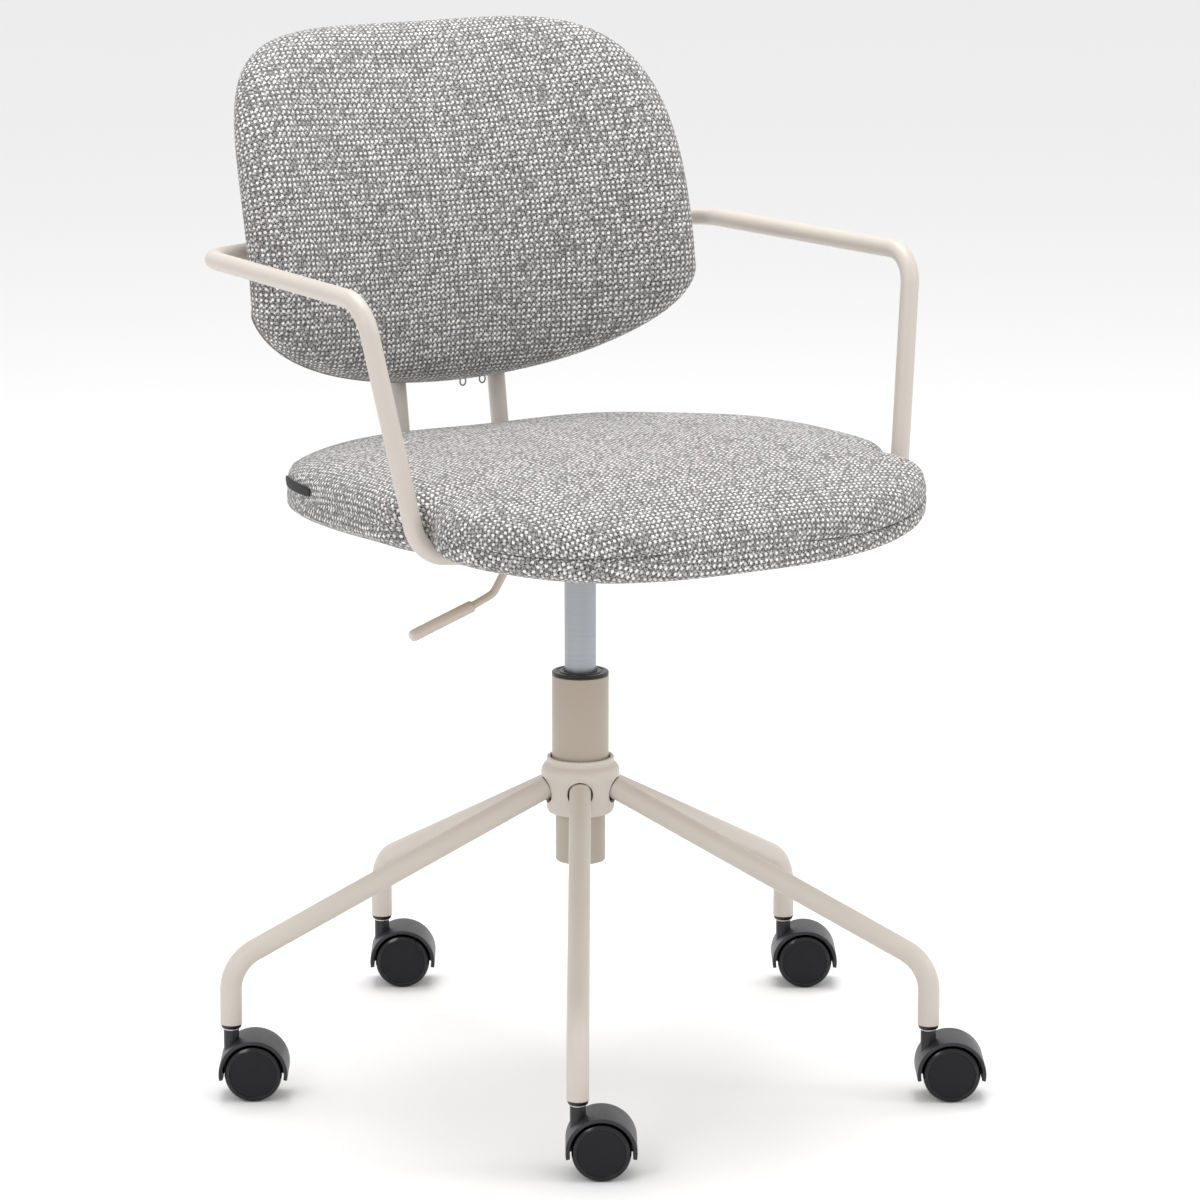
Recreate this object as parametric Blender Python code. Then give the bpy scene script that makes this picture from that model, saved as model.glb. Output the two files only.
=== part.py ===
"""Swivel office chair with a five-leg tube base, gas lift, tube arm frame and two fabric cushions.

Metres, +Z up, the front of the chair faces -Y.  Every length below is a real size.
All shapes are worked out about the column axis (0, 0) and then moved by SHIFT, which
centres the whole chair over the origin.
"""
import bpy
import bmesh
import math
from mathutils import Matrix, Vector

# ---------------------------------------------------------------- driving sizes
SHIFT = Vector((-0.0090, -0.0130, 0.0))
GAP = 0.0004

# base
LEG_ANGLES = (-31.5, 40.5, 112.5, 184.5, 256.5)
LEG_TAGS = ("front", "right_front", "right_rear", "rear", "left")
LEG_R = 0.0095
LEG_START = 0.0308
LEG_CIRCLE = 0.3190
LEG_SLOPE = 0.4718
LEG_CORNER_Z = 0.1191
LEG_BEND = 0.0380
LEG_END_Z = 0.0650
LEG_BORE = 0.0080

# casters
WHEEL_R = 0.0250
WHEEL_W = 0.0185
WHEEL_IN = 0.0045
TRAIL = 0.0195
TRAIL_ANGLE = math.atan2(-0.0100, 0.0167)
HOOD_R = 0.0300
HOOD_WALL = 0.0034
HOOD_HALF = 0.0235
NECK_R = 0.00675
NECK_TOP = 0.0598
STEM_R = 0.0045
AXLE_R = 0.0030

# column and gas lift
COLUMN_R = 0.0250
COLUMN_TOP = 0.3545
COLUMN_LOW_R = 0.0220
COLUMN_BOTTOM = 0.1871
COLUMN_STEP = 0.2704
CYL_R = 0.0140
CYL_BOTTOM = 0.2805
CYL_TOP = 0.4695
SOCKET_Z = 0.4495

# seat carrier
PLATE_Z = 0.4880
PLATE_T = 0.0030
RUN_Z = 0.4995
BOX_X = 0.0430
BOX_Y = 0.0300
BOX_WALL = 0.0030
PIVOT = Vector((-0.0300, 0.0, 0.4715))

# arm frame and uprights
TUBE_R = 0.0080
ARM_LOW = Vector((0.2393, -0.1390, 0.5105))
ARM_FRONT = Vector((0.2730, -0.1070, 0.7205))
ARM_REAR = Vector((0.2570, 0.2020, 0.7165))
REAR_R = 0.7260
REAR_MID_Y = 0.2498
ARM_BEND = 0.0320
UPRIGHT_X = 0.0514
UPRIGHT_Y = 0.2305
UPRIGHT_REF_Z = 0.5635
UPRIGHT_LEAN = 0.1584
UPRIGHT_TOP = 0.7066

# seat cushion
SEAT_HALF = 0.2533
SEAT_FRONT = -0.2765
SEAT_REAR = 0.2190
SEAT_CY = -0.0528
SEAT_N_FRONT = 2.98
SEAT_N_REAR = 2.78
SEAT_MID_Z = 0.5172
SEAT_TOP = 0.0450
SEAT_TOP_N = 6.0
SEAT_LOW = 0.0460
SEAT_LOW_N = 1.6
SEAT_TILT = -0.0505
SEAT_FALL = 0.0211
SEAT_CEILING = 0.5205
BOARD_Z = 0.5080
BOARD_T = 0.0120
TAG_FROM = 150.0
TAG_TO = 169.0
TAG_RISE = 0.0195
TAG_HALF = 0.0058

# back cushion
BACK_HALF = 0.2294
BACK_WIDEST = -0.0702
BACK_UP = 0.2484
BACK_UP_N = 4.24
BACK_DOWN = 0.0765
BACK_DOWN_N = 2.01
BACK_TAPER = 0.014
BACK_T = 0.0500
BACK_EDGE_N = 2.3
BACK_WRAP = 0.65
BACK_CURVE = 1.118
BACK_LEAN = math.radians(15.0)
BACK_Y = 0.2208
BACK_Z = 0.7363


# ---------------------------------------------------------------- small helpers
def clear_scene():
    for obj in list(bpy.data.objects):
        bpy.data.objects.remove(obj, do_unlink=True)
    for mesh in list(bpy.data.meshes):
        bpy.data.meshes.remove(mesh)


def material(name, rgb, metallic, roughness):
    mat = bpy.data.materials.new(name)
    mat.use_nodes = True
    shader = mat.node_tree.nodes["Principled BSDF"]
    shader.inputs["Base Color"].default_value = (rgb[0], rgb[1], rgb[2], 1.0)
    shader.inputs["Metallic"].default_value = metallic
    shader.inputs["Roughness"].default_value = roughness
    mat.diffuse_color = (rgb[0], rgb[1], rgb[2], 1.0)
    return mat


def add_object(name, bm, origin, mat, smooth=True):
    """Turns a bmesh in chair coordinates into one named object whose origin is given."""
    bmesh.ops.recalc_face_normals(bm, faces=bm.faces[:])
    bmesh.ops.translate(bm, verts=bm.verts[:], vec=-origin)
    mesh = bpy.data.meshes.new(name)
    bm.to_mesh(mesh)
    bm.free()
    obj = bpy.data.objects.new(name, mesh)
    obj.location = origin + SHIFT
    obj.data.materials.append(mat)
    if smooth:
        mesh.polygons.foreach_set("use_smooth", [True] * len(mesh.polygons))
        mesh.set_sharp_from_angle(angle=math.radians(38.0))
    COLLECTION.objects.link(obj)
    return obj


def lathe(profile, segments, closed):
    """Spins an (r, z) profile about Z.  A closed profile makes a ring or a tube."""
    bm = bmesh.new()
    verts = [bm.verts.new((max(r, 0.0), 0.0, z)) for r, z in profile]
    edges = [bm.edges.new((verts[i], verts[i + 1])) for i in range(len(verts) - 1)]
    if closed:
        edges.append(bm.edges.new((verts[-1], verts[0])))
    bmesh.ops.spin(bm, geom=verts + edges, cent=(0, 0, 0), axis=(0, 0, 1), dvec=(0, 0, 0),
                   angle=2.0 * math.pi, steps=segments, use_merge=True, use_duplicate=False)
    bmesh.ops.remove_doubles(bm, verts=bm.verts[:], dist=0.00001)
    return bm


def round_path(points, radii, steps, loop=False):
    """Rounds the corners of a polyline.  A radius of 0 keeps the corner as it is."""
    out = []
    count = len(points)
    for i in range(count):
        p = points[i]
        r = radii[i]
        if r <= 0.0 or (not loop and i in (0, count - 1)):
            out.append(p.copy())
            continue
        a = (points[i - 1] - p).normalized()
        b = (points[(i + 1) % count] - p).normalized()
        half = a.angle(b) / 2.0
        turn = math.pi - 2.0 * half
        reach = r / math.tan(half)
        centre = p + (a + b).normalized() * (r / math.sin(half))
        start = (p + a * reach) - centre
        normal = a.cross(b).normalized()
        parts = max(2, int(math.ceil(steps * turn / (math.pi / 2.0))))
        for k in range(parts + 1):
            turned = Matrix.Rotation(-turn * k / parts, 3, normal) @ start
            out.append(centre + turned)
    return out


def ring_frames(path, loop):
    """Carries one cross direction along a path without twist."""
    count = len(path)
    tangents = []
    for i in range(count):
        if loop:
            before = path[i - 1]
            after = path[(i + 1) % count]
            t = (path[i] - before).normalized() + (after - path[i]).normalized()
        elif i == 0:
            t = path[1] - path[0]
        elif i == count - 1:
            t = path[-1] - path[-2]
        else:
            t = (path[i] - path[i - 1]).normalized() + (path[i + 1] - path[i]).normalized()
        tangents.append(t.normalized())
    side = tangents[0].orthogonal().normalized()
    frames = []
    for i in range(count):
        if i > 0:
            side = tangents[i - 1].rotation_difference(tangents[i]) @ side
        side = (side - tangents[i] * side.dot(tangents[i])).normalized()
        frames.append((path[i], side.copy(), tangents[i].cross(side)))
    if loop:
        back = tangents[-1].rotation_difference(tangents[0]) @ frames[-1][1]
        twist = math.atan2(back.dot(frames[0][2]), back.dot(frames[0][1]))
        for i in range(count):
            spin = Matrix.Rotation(-twist * i / count, 3, tangents[i])
            frames[i] = (frames[i][0], spin @ frames[i][1], spin @ frames[i][2])
    return frames


def add_ring(bm, centre, u, v, radius, sides):
    ring = []
    for k in range(sides):
        a = 2.0 * math.pi * k / sides
        ring.append(bm.verts.new(centre + (u * math.cos(a) + v * math.sin(a)) * radius))
    return ring


def join_rings(bm, a, b):
    n = len(a)
    for k in range(n):
        bm.faces.new((a[k], a[(k + 1) % n], b[(k + 1) % n], b[k]))


def sweep(path, radius, sides, loop=False, recess=None):
    """A round bar along a path.  recess = (bore radius, depth) sinks a blind hole in its far end."""
    bm = bmesh.new()
    frames = ring_frames(path, loop)
    rings = [add_ring(bm, c, u, v, radius, sides) for c, u, v in frames]
    for i in range(len(rings) - 1):
        join_rings(bm, rings[i], rings[i + 1])
    if loop:
        join_rings(bm, rings[-1], rings[0])
        return bm
    bm.faces.new(rings[0])
    if recess is None:
        bm.faces.new(rings[-1])
        return bm
    c, u, v = frames[-1]
    inward = (path[-2] - path[-1]).normalized()
    mouth = add_ring(bm, c, u, v, recess[0], sides)
    floor = add_ring(bm, c + inward * recess[1], u, v, recess[0], sides)
    join_rings(bm, rings[-1], mouth)
    join_rings(bm, mouth, floor)
    bm.faces.new(floor)
    return bm


def box(low, high):
    bm = bmesh.new()
    bmesh.ops.create_cube(bm, size=1.0)
    size = Vector(high) - Vector(low)
    bmesh.ops.scale(bm, vec=size, verts=bm.verts[:])
    bmesh.ops.translate(bm, vec=(Vector(low) + Vector(high)) / 2.0, verts=bm.verts[:])
    return bm


def prism(outline, axis, low, high):
    """Extrudes a flat outline.  axis 'x' takes (y, z) points, axis 'y' takes (x, z) points."""
    bm = bmesh.new()
    ends = []
    for level in (low, high):
        if axis == "x":
            ring = [bm.verts.new((level, a, b)) for a, b in outline]
        else:
            ring = [bm.verts.new((a, level, b)) for a, b in outline]
        ends.append(ring)
    join_rings(bm, ends[0], ends[1])
    bm.faces.new(ends[0])
    bm.faces.new(ends[1])
    return bm


def place(bm, matrix):
    bmesh.ops.transform(bm, matrix=matrix, verts=bm.verts[:])
    return bm


def cutter(name, bm):
    bmesh.ops.recalc_face_normals(bm, faces=bm.faces[:])
    mesh = bpy.data.meshes.new(name)
    bm.to_mesh(mesh)
    bm.free()
    obj = bpy.data.objects.new(name, mesh)
    obj.location = SHIFT
    obj.display_type = "WIRE"
    obj.hide_render = True
    CUTTERS.objects.link(obj)
    return obj


def combine(obj, tool, operation):
    mod = obj.modifiers.new(tool.name, "BOOLEAN")
    mod.operation = operation
    mod.solver = "EXACT"
    mod.object = tool
    return mod


def signed_power(value, exponent):
    return math.copysign(abs(value) ** exponent, value)


def ring_stack(rings, first_pole, last_pole):
    """Closed skin through equal rings of points, with a pole at each end."""
    bm = bmesh.new()
    loops = [[bm.verts.new(p) for p in ring] for ring in rings]
    for i in range(len(loops) - 1):
        join_rings(bm, loops[i], loops[i + 1])
    for pole, ring in ((first_pole, loops[0]), (last_pole, loops[-1])):
        tip = bm.verts.new(pole)
        for k in range(len(ring)):
            bm.faces.new((tip, ring[k], ring[(k + 1) % len(ring)]))
    return bm


# ---------------------------------------------------------------- base
def leg_direction(angle):
    t = math.radians(angle)
    return Vector((math.sin(t), -math.cos(t), 0.0))


def leg_height(r):
    return LEG_CORNER_Z + LEG_SLOPE * (LEG_CIRCLE - r)


def build_legs(paint):
    for angle, tag in zip(LEG_ANGLES, LEG_TAGS):
        d = leg_direction(angle)
        points = [
            d * LEG_START + Vector((0, 0, leg_height(LEG_START))),
            d * LEG_CIRCLE + Vector((0, 0, LEG_CORNER_Z)),
            d * LEG_CIRCLE + Vector((0, 0, LEG_END_Z)),
        ]
        path = round_path(points, (0, LEG_BEND, 0), 9)
        bm = sweep(path, LEG_R, 16, recess=(LEG_BORE, 0.030))
        add_object("leg_" + tag, bm, Vector((0, 0, 0)), paint)


def build_hub(paint, steel):
    core = [
        (0.0224, 0.2300), (0.0232, 0.2300), (0.0237, 0.2307), (0.0237, 0.2400),
        (0.0262, 0.2400), (0.0262, 0.2700), (0.0224, 0.2700),
    ]
    add_object("hub_core", lathe(core, 32, True), Vector((0, 0, 0)), steel)
    cover = [
        (0.0263, 0.2815), (0.0289, 0.2815), (0.0295, 0.2809), (0.0295, 0.2772),
        (0.0326, 0.2735), (0.0346, 0.2680), (0.0346, 0.2650), (0.0302, 0.2400),
        (0.0296, 0.2345), (0.0282, 0.2315), (0.0262, 0.2310), (0.0246, 0.2310),
        (0.0272, 0.2385), (0.0322, 0.2655), (0.0296, 0.2742), (0.0263, 0.2768),
    ]
    hub = add_object("hub_cover", lathe(cover, 45, True), Vector((0, 0, 0)), paint)
    for angle, tag in zip(LEG_ANGLES, LEG_TAGS):
        hole = []
        for k in range(16):
            a = math.pi * (k + 0.5) / 8.0
            middle = 0.2535 if a < math.pi else 0.2523
            hole.append((0.0112 * math.cos(a), middle + 0.0112 * math.sin(a)))
        bm = prism(hole, "y", -0.0500, -0.0255)
        place(bm, Matrix.Rotation(math.radians(angle), 4, "Z"))
        combine(hub, cutter("leg_hole_" + tag, bm), "DIFFERENCE")


# ---------------------------------------------------------------- casters
def caster_frame(angle):
    """Place of one wheel centre, with local X along the trail and local Y along the axle."""
    stem = leg_direction(angle) * LEG_CIRCLE
    trail = Vector((math.cos(TRAIL_ANGLE), math.sin(TRAIL_ANGLE), 0.0))
    centre = stem + trail * TRAIL + Vector((0, 0, WHEEL_R))
    turn = Matrix.Rotation(TRAIL_ANGLE, 4, "Z")
    return stem, centre, Matrix.Translation(centre) @ turn


def wheel_profile():
    a = WHEEL_IN
    b = WHEEL_IN + WHEEL_W
    return [
        (0.0, b - 0.0040), (AXLE_R + 0.0003, b - 0.0040), (AXLE_R + 0.0003, a),
        (0.0236, a), (WHEEL_R, a + 0.0016), (WHEEL_R, b - 0.0036), (0.0241, b - 0.0014),
        (0.0206, b), (0.0, b - 0.0004),
    ]


def arc_band(y0, y1, r_in, r_out, edge, steps):
    """Part of a ring about local Y, from just below one side of the axle to the other."""
    low = math.radians(-10.0)
    high = math.radians(190.0)
    section = [
        (r_in, y0), (r_out - edge, y0), (r_out, y0 + edge), (r_out, y1 - edge),
        (r_out - edge, y1), (r_in, y1),
    ]
    bm = bmesh.new()
    rings = []
    for k in range(steps + 1):
        a = low + (high - low) * k / steps
        rings.append([bm.verts.new((r * math.cos(a), y, r * math.sin(a))) for r, y in section])
    for k in range(steps):
        join_rings(bm, rings[k], rings[k + 1])
    bm.faces.new(rings[0])
    bm.faces.new(rings[-1])
    return bm


def web_plate(half, radius, steps):
    """Middle web: fills the band down to the axle and ends in a round foot below it."""
    outline = []
    low = math.radians(-8.0)
    high = math.radians(188.0)
    for k in range(steps + 1):
        a = low + (high - low) * k / steps
        outline.append((radius * math.cos(a), radius * math.sin(a)))
    outline.append((-0.0100, -0.0045))
    for k in range(1, 6):
        a = math.pi + math.pi * k / 6.0
        outline.append((0.0080 * math.cos(a), -0.0045 + 0.0060 * math.sin(a)))
    outline.append((0.0100, -0.0045))
    return prism(outline, "y", -half, half)


def neck_body():
    """Upright neck with a blind bore for the stem.  Its foot follows the top of the band."""
    sides = 14
    bm = bmesh.new()
    seat_r = HOOD_R - 0.0016
    rings = []
    foot = []
    for k in range(sides):
        a = 2.0 * math.pi * k / sides
        x = -TRAIL + NECK_R * math.cos(a)
        y = NECK_R * math.sin(a)
        foot.append(bm.verts.new((x, y, math.sqrt(seat_r ** 2 - x ** 2))))
    rings.append(foot)
    top = NECK_TOP - WHEEL_R
    floor = 0.0520 - WHEEL_R
    for r, z in ((NECK_R, top - 0.0006), (NECK_R - 0.0006, top), (STEM_R + GAP, top),
                 (STEM_R + GAP, floor)):
        centre = Vector((-TRAIL, 0.0, z))
        rings.append(add_ring(bm, centre, Vector((1, 0, 0)), Vector((0, 1, 0)), r, sides))
    for i in range(len(rings) - 1):
        join_rings(bm, rings[i], rings[i + 1])
    bm.faces.new(rings[-1])
    tip = bm.verts.new((-TRAIL, 0.0, math.sqrt(seat_r ** 2 - TRAIL ** 2)))
    for k in range(sides):
        bm.faces.new((tip, foot[k], foot[(k + 1) % sides]))
    return bm


def hood_mesh():
    """The hood is joined once from its band, web and neck, and then copied to five places."""
    parts = (
        ("hood_band", arc_band(-HOOD_HALF, HOOD_HALF, HOOD_R - HOOD_WALL, HOOD_R, 0.0014, 16)),
        ("hood_web", web_plate(0.0036, HOOD_R - 0.0014, 16)),
        ("hood_neck", neck_body()),
    )
    temp = []
    for name, bm in parts:
        bmesh.ops.recalc_face_normals(bm, faces=bm.faces[:])
        mesh = bpy.data.meshes.new(name)
        bm.to_mesh(mesh)
        bm.free()
        obj = bpy.data.objects.new(name, mesh)
        CUTTERS.objects.link(obj)
        temp.append(obj)
    hole = bmesh.new()
    bmesh.ops.create_cone(hole, cap_ends=True, segments=16, radius1=AXLE_R + 0.0003,
                          radius2=AXLE_R + 0.0003, depth=0.0200)
    place(hole, Matrix.Rotation(math.radians(90.0), 4, "X"))
    mesh = bpy.data.meshes.new("hood_hole")
    hole.to_mesh(mesh)
    hole.free()
    drill = bpy.data.objects.new("hood_hole", mesh)
    CUTTERS.objects.link(drill)
    base = temp[0]
    combine(base, temp[1], "UNION")
    combine(base, temp[2], "UNION")
    combine(base, drill, "DIFFERENCE")
    bpy.context.view_layer.update()
    graph = bpy.context.evaluated_depsgraph_get()
    joined = bpy.data.meshes.new_from_object(base.evaluated_get(graph))
    out = bmesh.new()
    out.from_mesh(joined)
    bpy.data.meshes.remove(joined)
    bmesh.ops.remove_doubles(out, verts=out.verts[:], dist=0.00002)
    for obj in temp + [drill]:
        bpy.data.objects.remove(obj, do_unlink=True)
    return out


def build_casters(plastic, gloss, steel):
    hood = hood_mesh()
    along_axle = Matrix.Rotation(math.radians(-90.0), 4, "X")
    for angle, tag in zip(LEG_ANGLES, LEG_TAGS):
        stem, centre, frame = caster_frame(angle)
        plug = [
            (0.0, 0.0920), (0.0066, 0.0920), (0.0074, 0.0900), (0.0076, 0.0646),
            (0.0090, 0.0646), (0.0090, 0.0640), (0.0083, 0.0616), (0.0075, 0.0614),
            (STEM_R + 0.0003, 0.0614), (STEM_R + 0.0003, 0.0886), (0.0, 0.0886),
        ]
        bm = lathe(plug, 16, False)
        place(bm, Matrix.Translation(stem))
        add_object("caster_socket_" + tag, bm, stem.copy(), plastic)

        pin = [
            (0.0, 0.0523), (0.0040, 0.0523), (STEM_R, 0.0528), (STEM_R, 0.0601),
            (NECK_R, 0.0601), (NECK_R, 0.0611), (STEM_R, 0.0611), (STEM_R, 0.0870),
            (0.0036, 0.0882), (0.0, 0.0882),
        ]
        bm = place(lathe(pin, 16, False), Matrix.Translation(stem))
        add_object("caster_stem_" + tag, bm, stem.copy(), steel)

        body = place(hood.copy(), frame)
        add_object("caster_hood_" + tag, body, stem.copy(), plastic)

        axle = [
            (0.0, -0.0185), (0.0025, -0.0185), (AXLE_R, -0.0180), (AXLE_R, 0.0180),
            (0.0025, 0.0185), (0.0, 0.0185),
        ]
        bm = place(lathe(axle, 12, False), frame @ along_axle)
        add_object("caster_axle_" + tag, bm, centre.copy(), steel)

        for side, sign in (("a", -1.0), ("b", 1.0)):
            bm = lathe(wheel_profile(), 22, False)
            turn = Matrix.Rotation(math.radians(-90.0 * sign), 4, "X")
            place(bm, frame @ turn)
            add_object("wheel_" + tag + "_" + side, bm, centre.copy(), gloss)
    hood.free()


# ---------------------------------------------------------------- column and gas lift
def build_column(paint, plastic, steel, chrome):
    zero = Vector((0, 0, 0))
    tube = [
        (0.0055, COLUMN_BOTTOM), (0.0205, COLUMN_BOTTOM), (COLUMN_LOW_R, COLUMN_BOTTOM + 0.0012),
        (COLUMN_LOW_R, COLUMN_STEP), (COLUMN_R, COLUMN_STEP), (COLUMN_R, COLUMN_TOP),
        (0.0221, COLUMN_TOP), (0.0221, 0.2860), (0.0195, 0.2820), (0.0195, 0.1901),
        (0.0055, 0.1901),
    ]
    add_object("column_tube", lathe(tube, 32, True), zero, paint)

    bush = [
        (0.0143, 0.2900), (0.0217, 0.2900), (0.0217, 0.3548), (0.0250, 0.3548),
        (0.0250, 0.3559), (0.0245, 0.3562), (0.0250, 0.3565), (0.0250, 0.3572),
        (0.0242, 0.3578), (0.0190, 0.3578), (0.0184, 0.3584), (0.0143, 0.3584),
    ]
    add_object("guide_bush", lathe(bush, 32, True), zero, plastic)

    cylinder = [
        (0.0053, CYL_BOTTOM), (0.0132, CYL_BOTTOM), (CYL_R, CYL_BOTTOM + 0.0008),
        (CYL_R, SOCKET_Z + 0.0010), (0.0132, CYL_TOP - 0.0008), (0.0126, CYL_TOP),
        (0.0044, CYL_TOP), (0.0044, 0.4455), (0.0110, 0.4455), (0.0110, 0.2865),
        (0.0053, 0.2865),
    ]
    add_object("gas_cylinder", lathe(cylinder, 28, True), zero, chrome)

    rod = [
        (0.0, 0.1825), (0.0040, 0.1825), (0.0050, 0.1832), (0.0050, 0.1912),
        (0.0100, 0.1912), (0.0100, 0.1990), (0.0050, 0.2000), (0.0050, 0.3400),
        (0.0090, 0.3405), (0.0107, 0.3415), (0.0107, 0.3645), (0.0100, 0.3655), (0.0, 0.3655),
    ]
    add_object("piston_rod", lathe(rod, 24, False), zero, steel)

    clip = [(0.0053, 0.1848), (0.0085, 0.1848), (0.0085, 0.1863), (0.0053, 0.1863)]
    add_object("retaining_clip", lathe(clip, 24, True), zero, steel)

    pin = [
        (0.0, 0.4480), (0.0036, 0.4480), (0.0040, 0.4486), (0.0040, 0.4742), (0.0034, 0.4749),
        (0.0, 0.4749),
    ]
    add_object("release_pin", lathe(pin, 16, False), zero, plastic)


# ---------------------------------------------------------------- seat carrier and lever
def build_mechanism(paint, steel):
    zero = Vector((0, 0, 0))
    low = (-0.085, -0.145, PLATE_Z)
    high = (0.085, 0.105, PLATE_Z + PLATE_T)
    plate = box(low, high)
    upright_edges = [e for e in plate.edges if abs(e.verts[0].co.z - e.verts[1].co.z) > 0.001]
    bmesh.ops.bevel(plate, geom=upright_edges, offset=0.012, segments=4, affect="EDGES")
    add_object("seat_plate", plate, zero, steel, smooth=False)

    top = PLATE_Z - 0.0003
    shell = add_object("mechanism_housing",
                       box((-BOX_X, -BOX_Y, SOCKET_Z), (BOX_X, BOX_Y, top)), zero, paint, False)
    inside = box((-BOX_X + BOX_WALL, -0.05, SOCKET_Z + BOX_WALL), (BOX_X - BOX_WALL, 0.05, top + 0.01))
    combine(shell, cutter("housing_inside", inside), "DIFFERENCE")
    slot = box((-BOX_X - 0.01, -0.0055, 0.4655), (-BOX_X + 0.02, 0.0055, 0.4800))
    combine(shell, cutter("housing_slot", slot), "DIFFERENCE")
    socket = lathe([(0.0, SOCKET_Z + 0.001), (0.0190, SOCKET_Z + 0.001), (0.0190, 0.4675),
                    (0.0, 0.4675)], 32, False)
    combine(shell, cutter("housing_socket", socket), "UNION")
    taper = lathe([(0.0, SOCKET_Z - 0.010), (CYL_R + 0.0006, SOCKET_Z - 0.010),
                   (CYL_R + 0.0004, SOCKET_Z), (0.0137, 0.4690), (0.0, 0.4690)], 32, False)
    combine(shell, cutter("housing_taper", taper), "DIFFERENCE")
    for sign in (-1.0, 1.0):
        lug = box((PIVOT.x - 0.0070, sign * 0.0095 - 0.0015, SOCKET_Z + 0.002),
                  (PIVOT.x + 0.0070, sign * 0.0095 + 0.0015, PIVOT.z + 0.0070))
        tag = "near" if sign < 0.0 else "far"
        combine(shell, cutter("pivot_lug_" + tag, lug), "UNION")
    bore = bmesh.new()
    bmesh.ops.create_cone(bore, cap_ends=True, segments=16, radius1=0.0027, radius2=0.0027,
                          depth=0.0300)
    place(bore, Matrix.Translation(PIVOT) @ Matrix.Rotation(math.radians(90.0), 4, "X"))
    combine(shell, cutter("pivot_bore", bore), "DIFFERENCE")

    pin = [(0.0, -0.0140), (0.0040, -0.0140), (0.0040, -0.0122), (0.0024, -0.0118),
           (0.0024, 0.0135), (0.0, 0.0135)]
    turn = Matrix.Translation(PIVOT) @ Matrix.Rotation(math.radians(-90.0), 4, "X")
    add_object("lever_pin", place(lathe(pin, 16, False), turn), PIVOT.copy(), steel)


def build_lever(paint, grip):
    points = [
        Vector((-0.0350, 0.0, 0.4715)), Vector((-0.0660, 0.0, 0.4715)),
        Vector((-0.0880, 0.0, 0.4365)), Vector((-0.1080, 0.0, 0.4283)),
    ]
    path = round_path(points, (0, 0.014, 0.014, 0), 6)
    rod = add_object("lever_rod", sweep(path, 0.0035, 12), PIVOT.copy(), paint)
    eye = bmesh.new()
    bmesh.ops.create_cone(eye, cap_ends=True, segments=20, radius1=0.0062, radius2=0.0062,
                          depth=0.0110)
    place(eye, Matrix.Translation(PIVOT) @ Matrix.Rotation(math.radians(90.0), 4, "X"))
    combine(rod, cutter("lever_eye", eye), "UNION")
    finger = box((PIVOT.x, -0.0040, 0.4755), (0.0030, 0.0040, 0.4787))
    combine(rod, cutter("lever_finger", finger), "UNION")
    hole = bmesh.new()
    bmesh.ops.create_cone(hole, cap_ends=True, segments=16, radius1=0.0027, radius2=0.0027,
                          depth=0.0300)
    place(hole, Matrix.Translation(PIVOT) @ Matrix.Rotation(math.radians(90.0), 4, "X"))
    combine(rod, cutter("lever_hole", hole), "DIFFERENCE")

    start = Vector((-0.1086, 0.0, 0.42805))
    end = Vector((-0.1710, 0.0, 0.4072))
    length = (end - start).length
    outline = [
        (0.0, 0.0), (0.0040, 0.0), (0.0051, 0.0010), (0.0053, 0.0030), (0.0053, length - 0.0040),
        (0.0046, length - 0.0016), (0.0030, length - 0.0003), (0.0, length),
    ]
    aim = (end - start).to_track_quat("Z", "Y").to_matrix().to_4x4()
    bm = place(lathe(outline, 16, False), Matrix.Translation(start) @ aim)
    add_object("lever_grip", bm, PIVOT.copy(), grip)


# ---------------------------------------------------------------- tubes
def mirror(p):
    return Vector((-p.x, p.y, p.z))


def build_arm_frame(paint):
    turn_in = Vector((0.1400, -0.1310, RUN_Z))
    right = [turn_in, ARM_LOW, ARM_FRONT, ARM_REAR]
    points = [p.copy() for p in right]
    radii = [0.060, ARM_BEND, ARM_BEND, ARM_BEND]
    for k in range(5, -6, -1):
        x = 0.20 * k / 5.0
        y = REAR_MID_Y - (REAR_R - math.sqrt(REAR_R ** 2 - x ** 2))
        points.append(Vector((x, y, ARM_REAR.z)))
        radii.append(0.0)
    for p, r in zip(reversed(right), reversed(radii[:4])):
        points.append(mirror(p))
        radii.append(r)
    path = round_path(points, radii, 7, loop=True)
    add_object("arm_frame", sweep(path, TUBE_R, 14, loop=True), Vector((0, 0, 0)), paint)


def upright_y(z):
    return UPRIGHT_Y + (z - UPRIGHT_REF_Z) * UPRIGHT_LEAN


def build_uprights(paint):
    for sign, tag in ((-1.0, "left"), (1.0, "right")):
        x = sign * UPRIGHT_X
        points = [
            Vector((x, -0.1225, RUN_Z)),
            Vector((x, upright_y(RUN_Z), RUN_Z)),
            Vector((x, upright_y(UPRIGHT_TOP), UPRIGHT_TOP)),
        ]
        path = round_path(points, (0, 0.030, 0), 8)
        add_object("upright_" + tag, sweep(path, TUBE_R, 14), Vector((0, 0, 0)), paint)
    mid = 0.674
    bar = box((-0.068, -0.0025, -0.020), (0.068, 0.0025, 0.020))
    tilt = Matrix.Rotation(-math.atan(UPRIGHT_LEAN), 4, "X")
    spot = Vector((0.0, upright_y(mid) - TUBE_R - 0.0031, mid))
    place(bar, Matrix.Translation(spot) @ tilt)
    add_object("back_bracket", bar, Vector((0, 0, 0)), paint, smooth=False)


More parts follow.
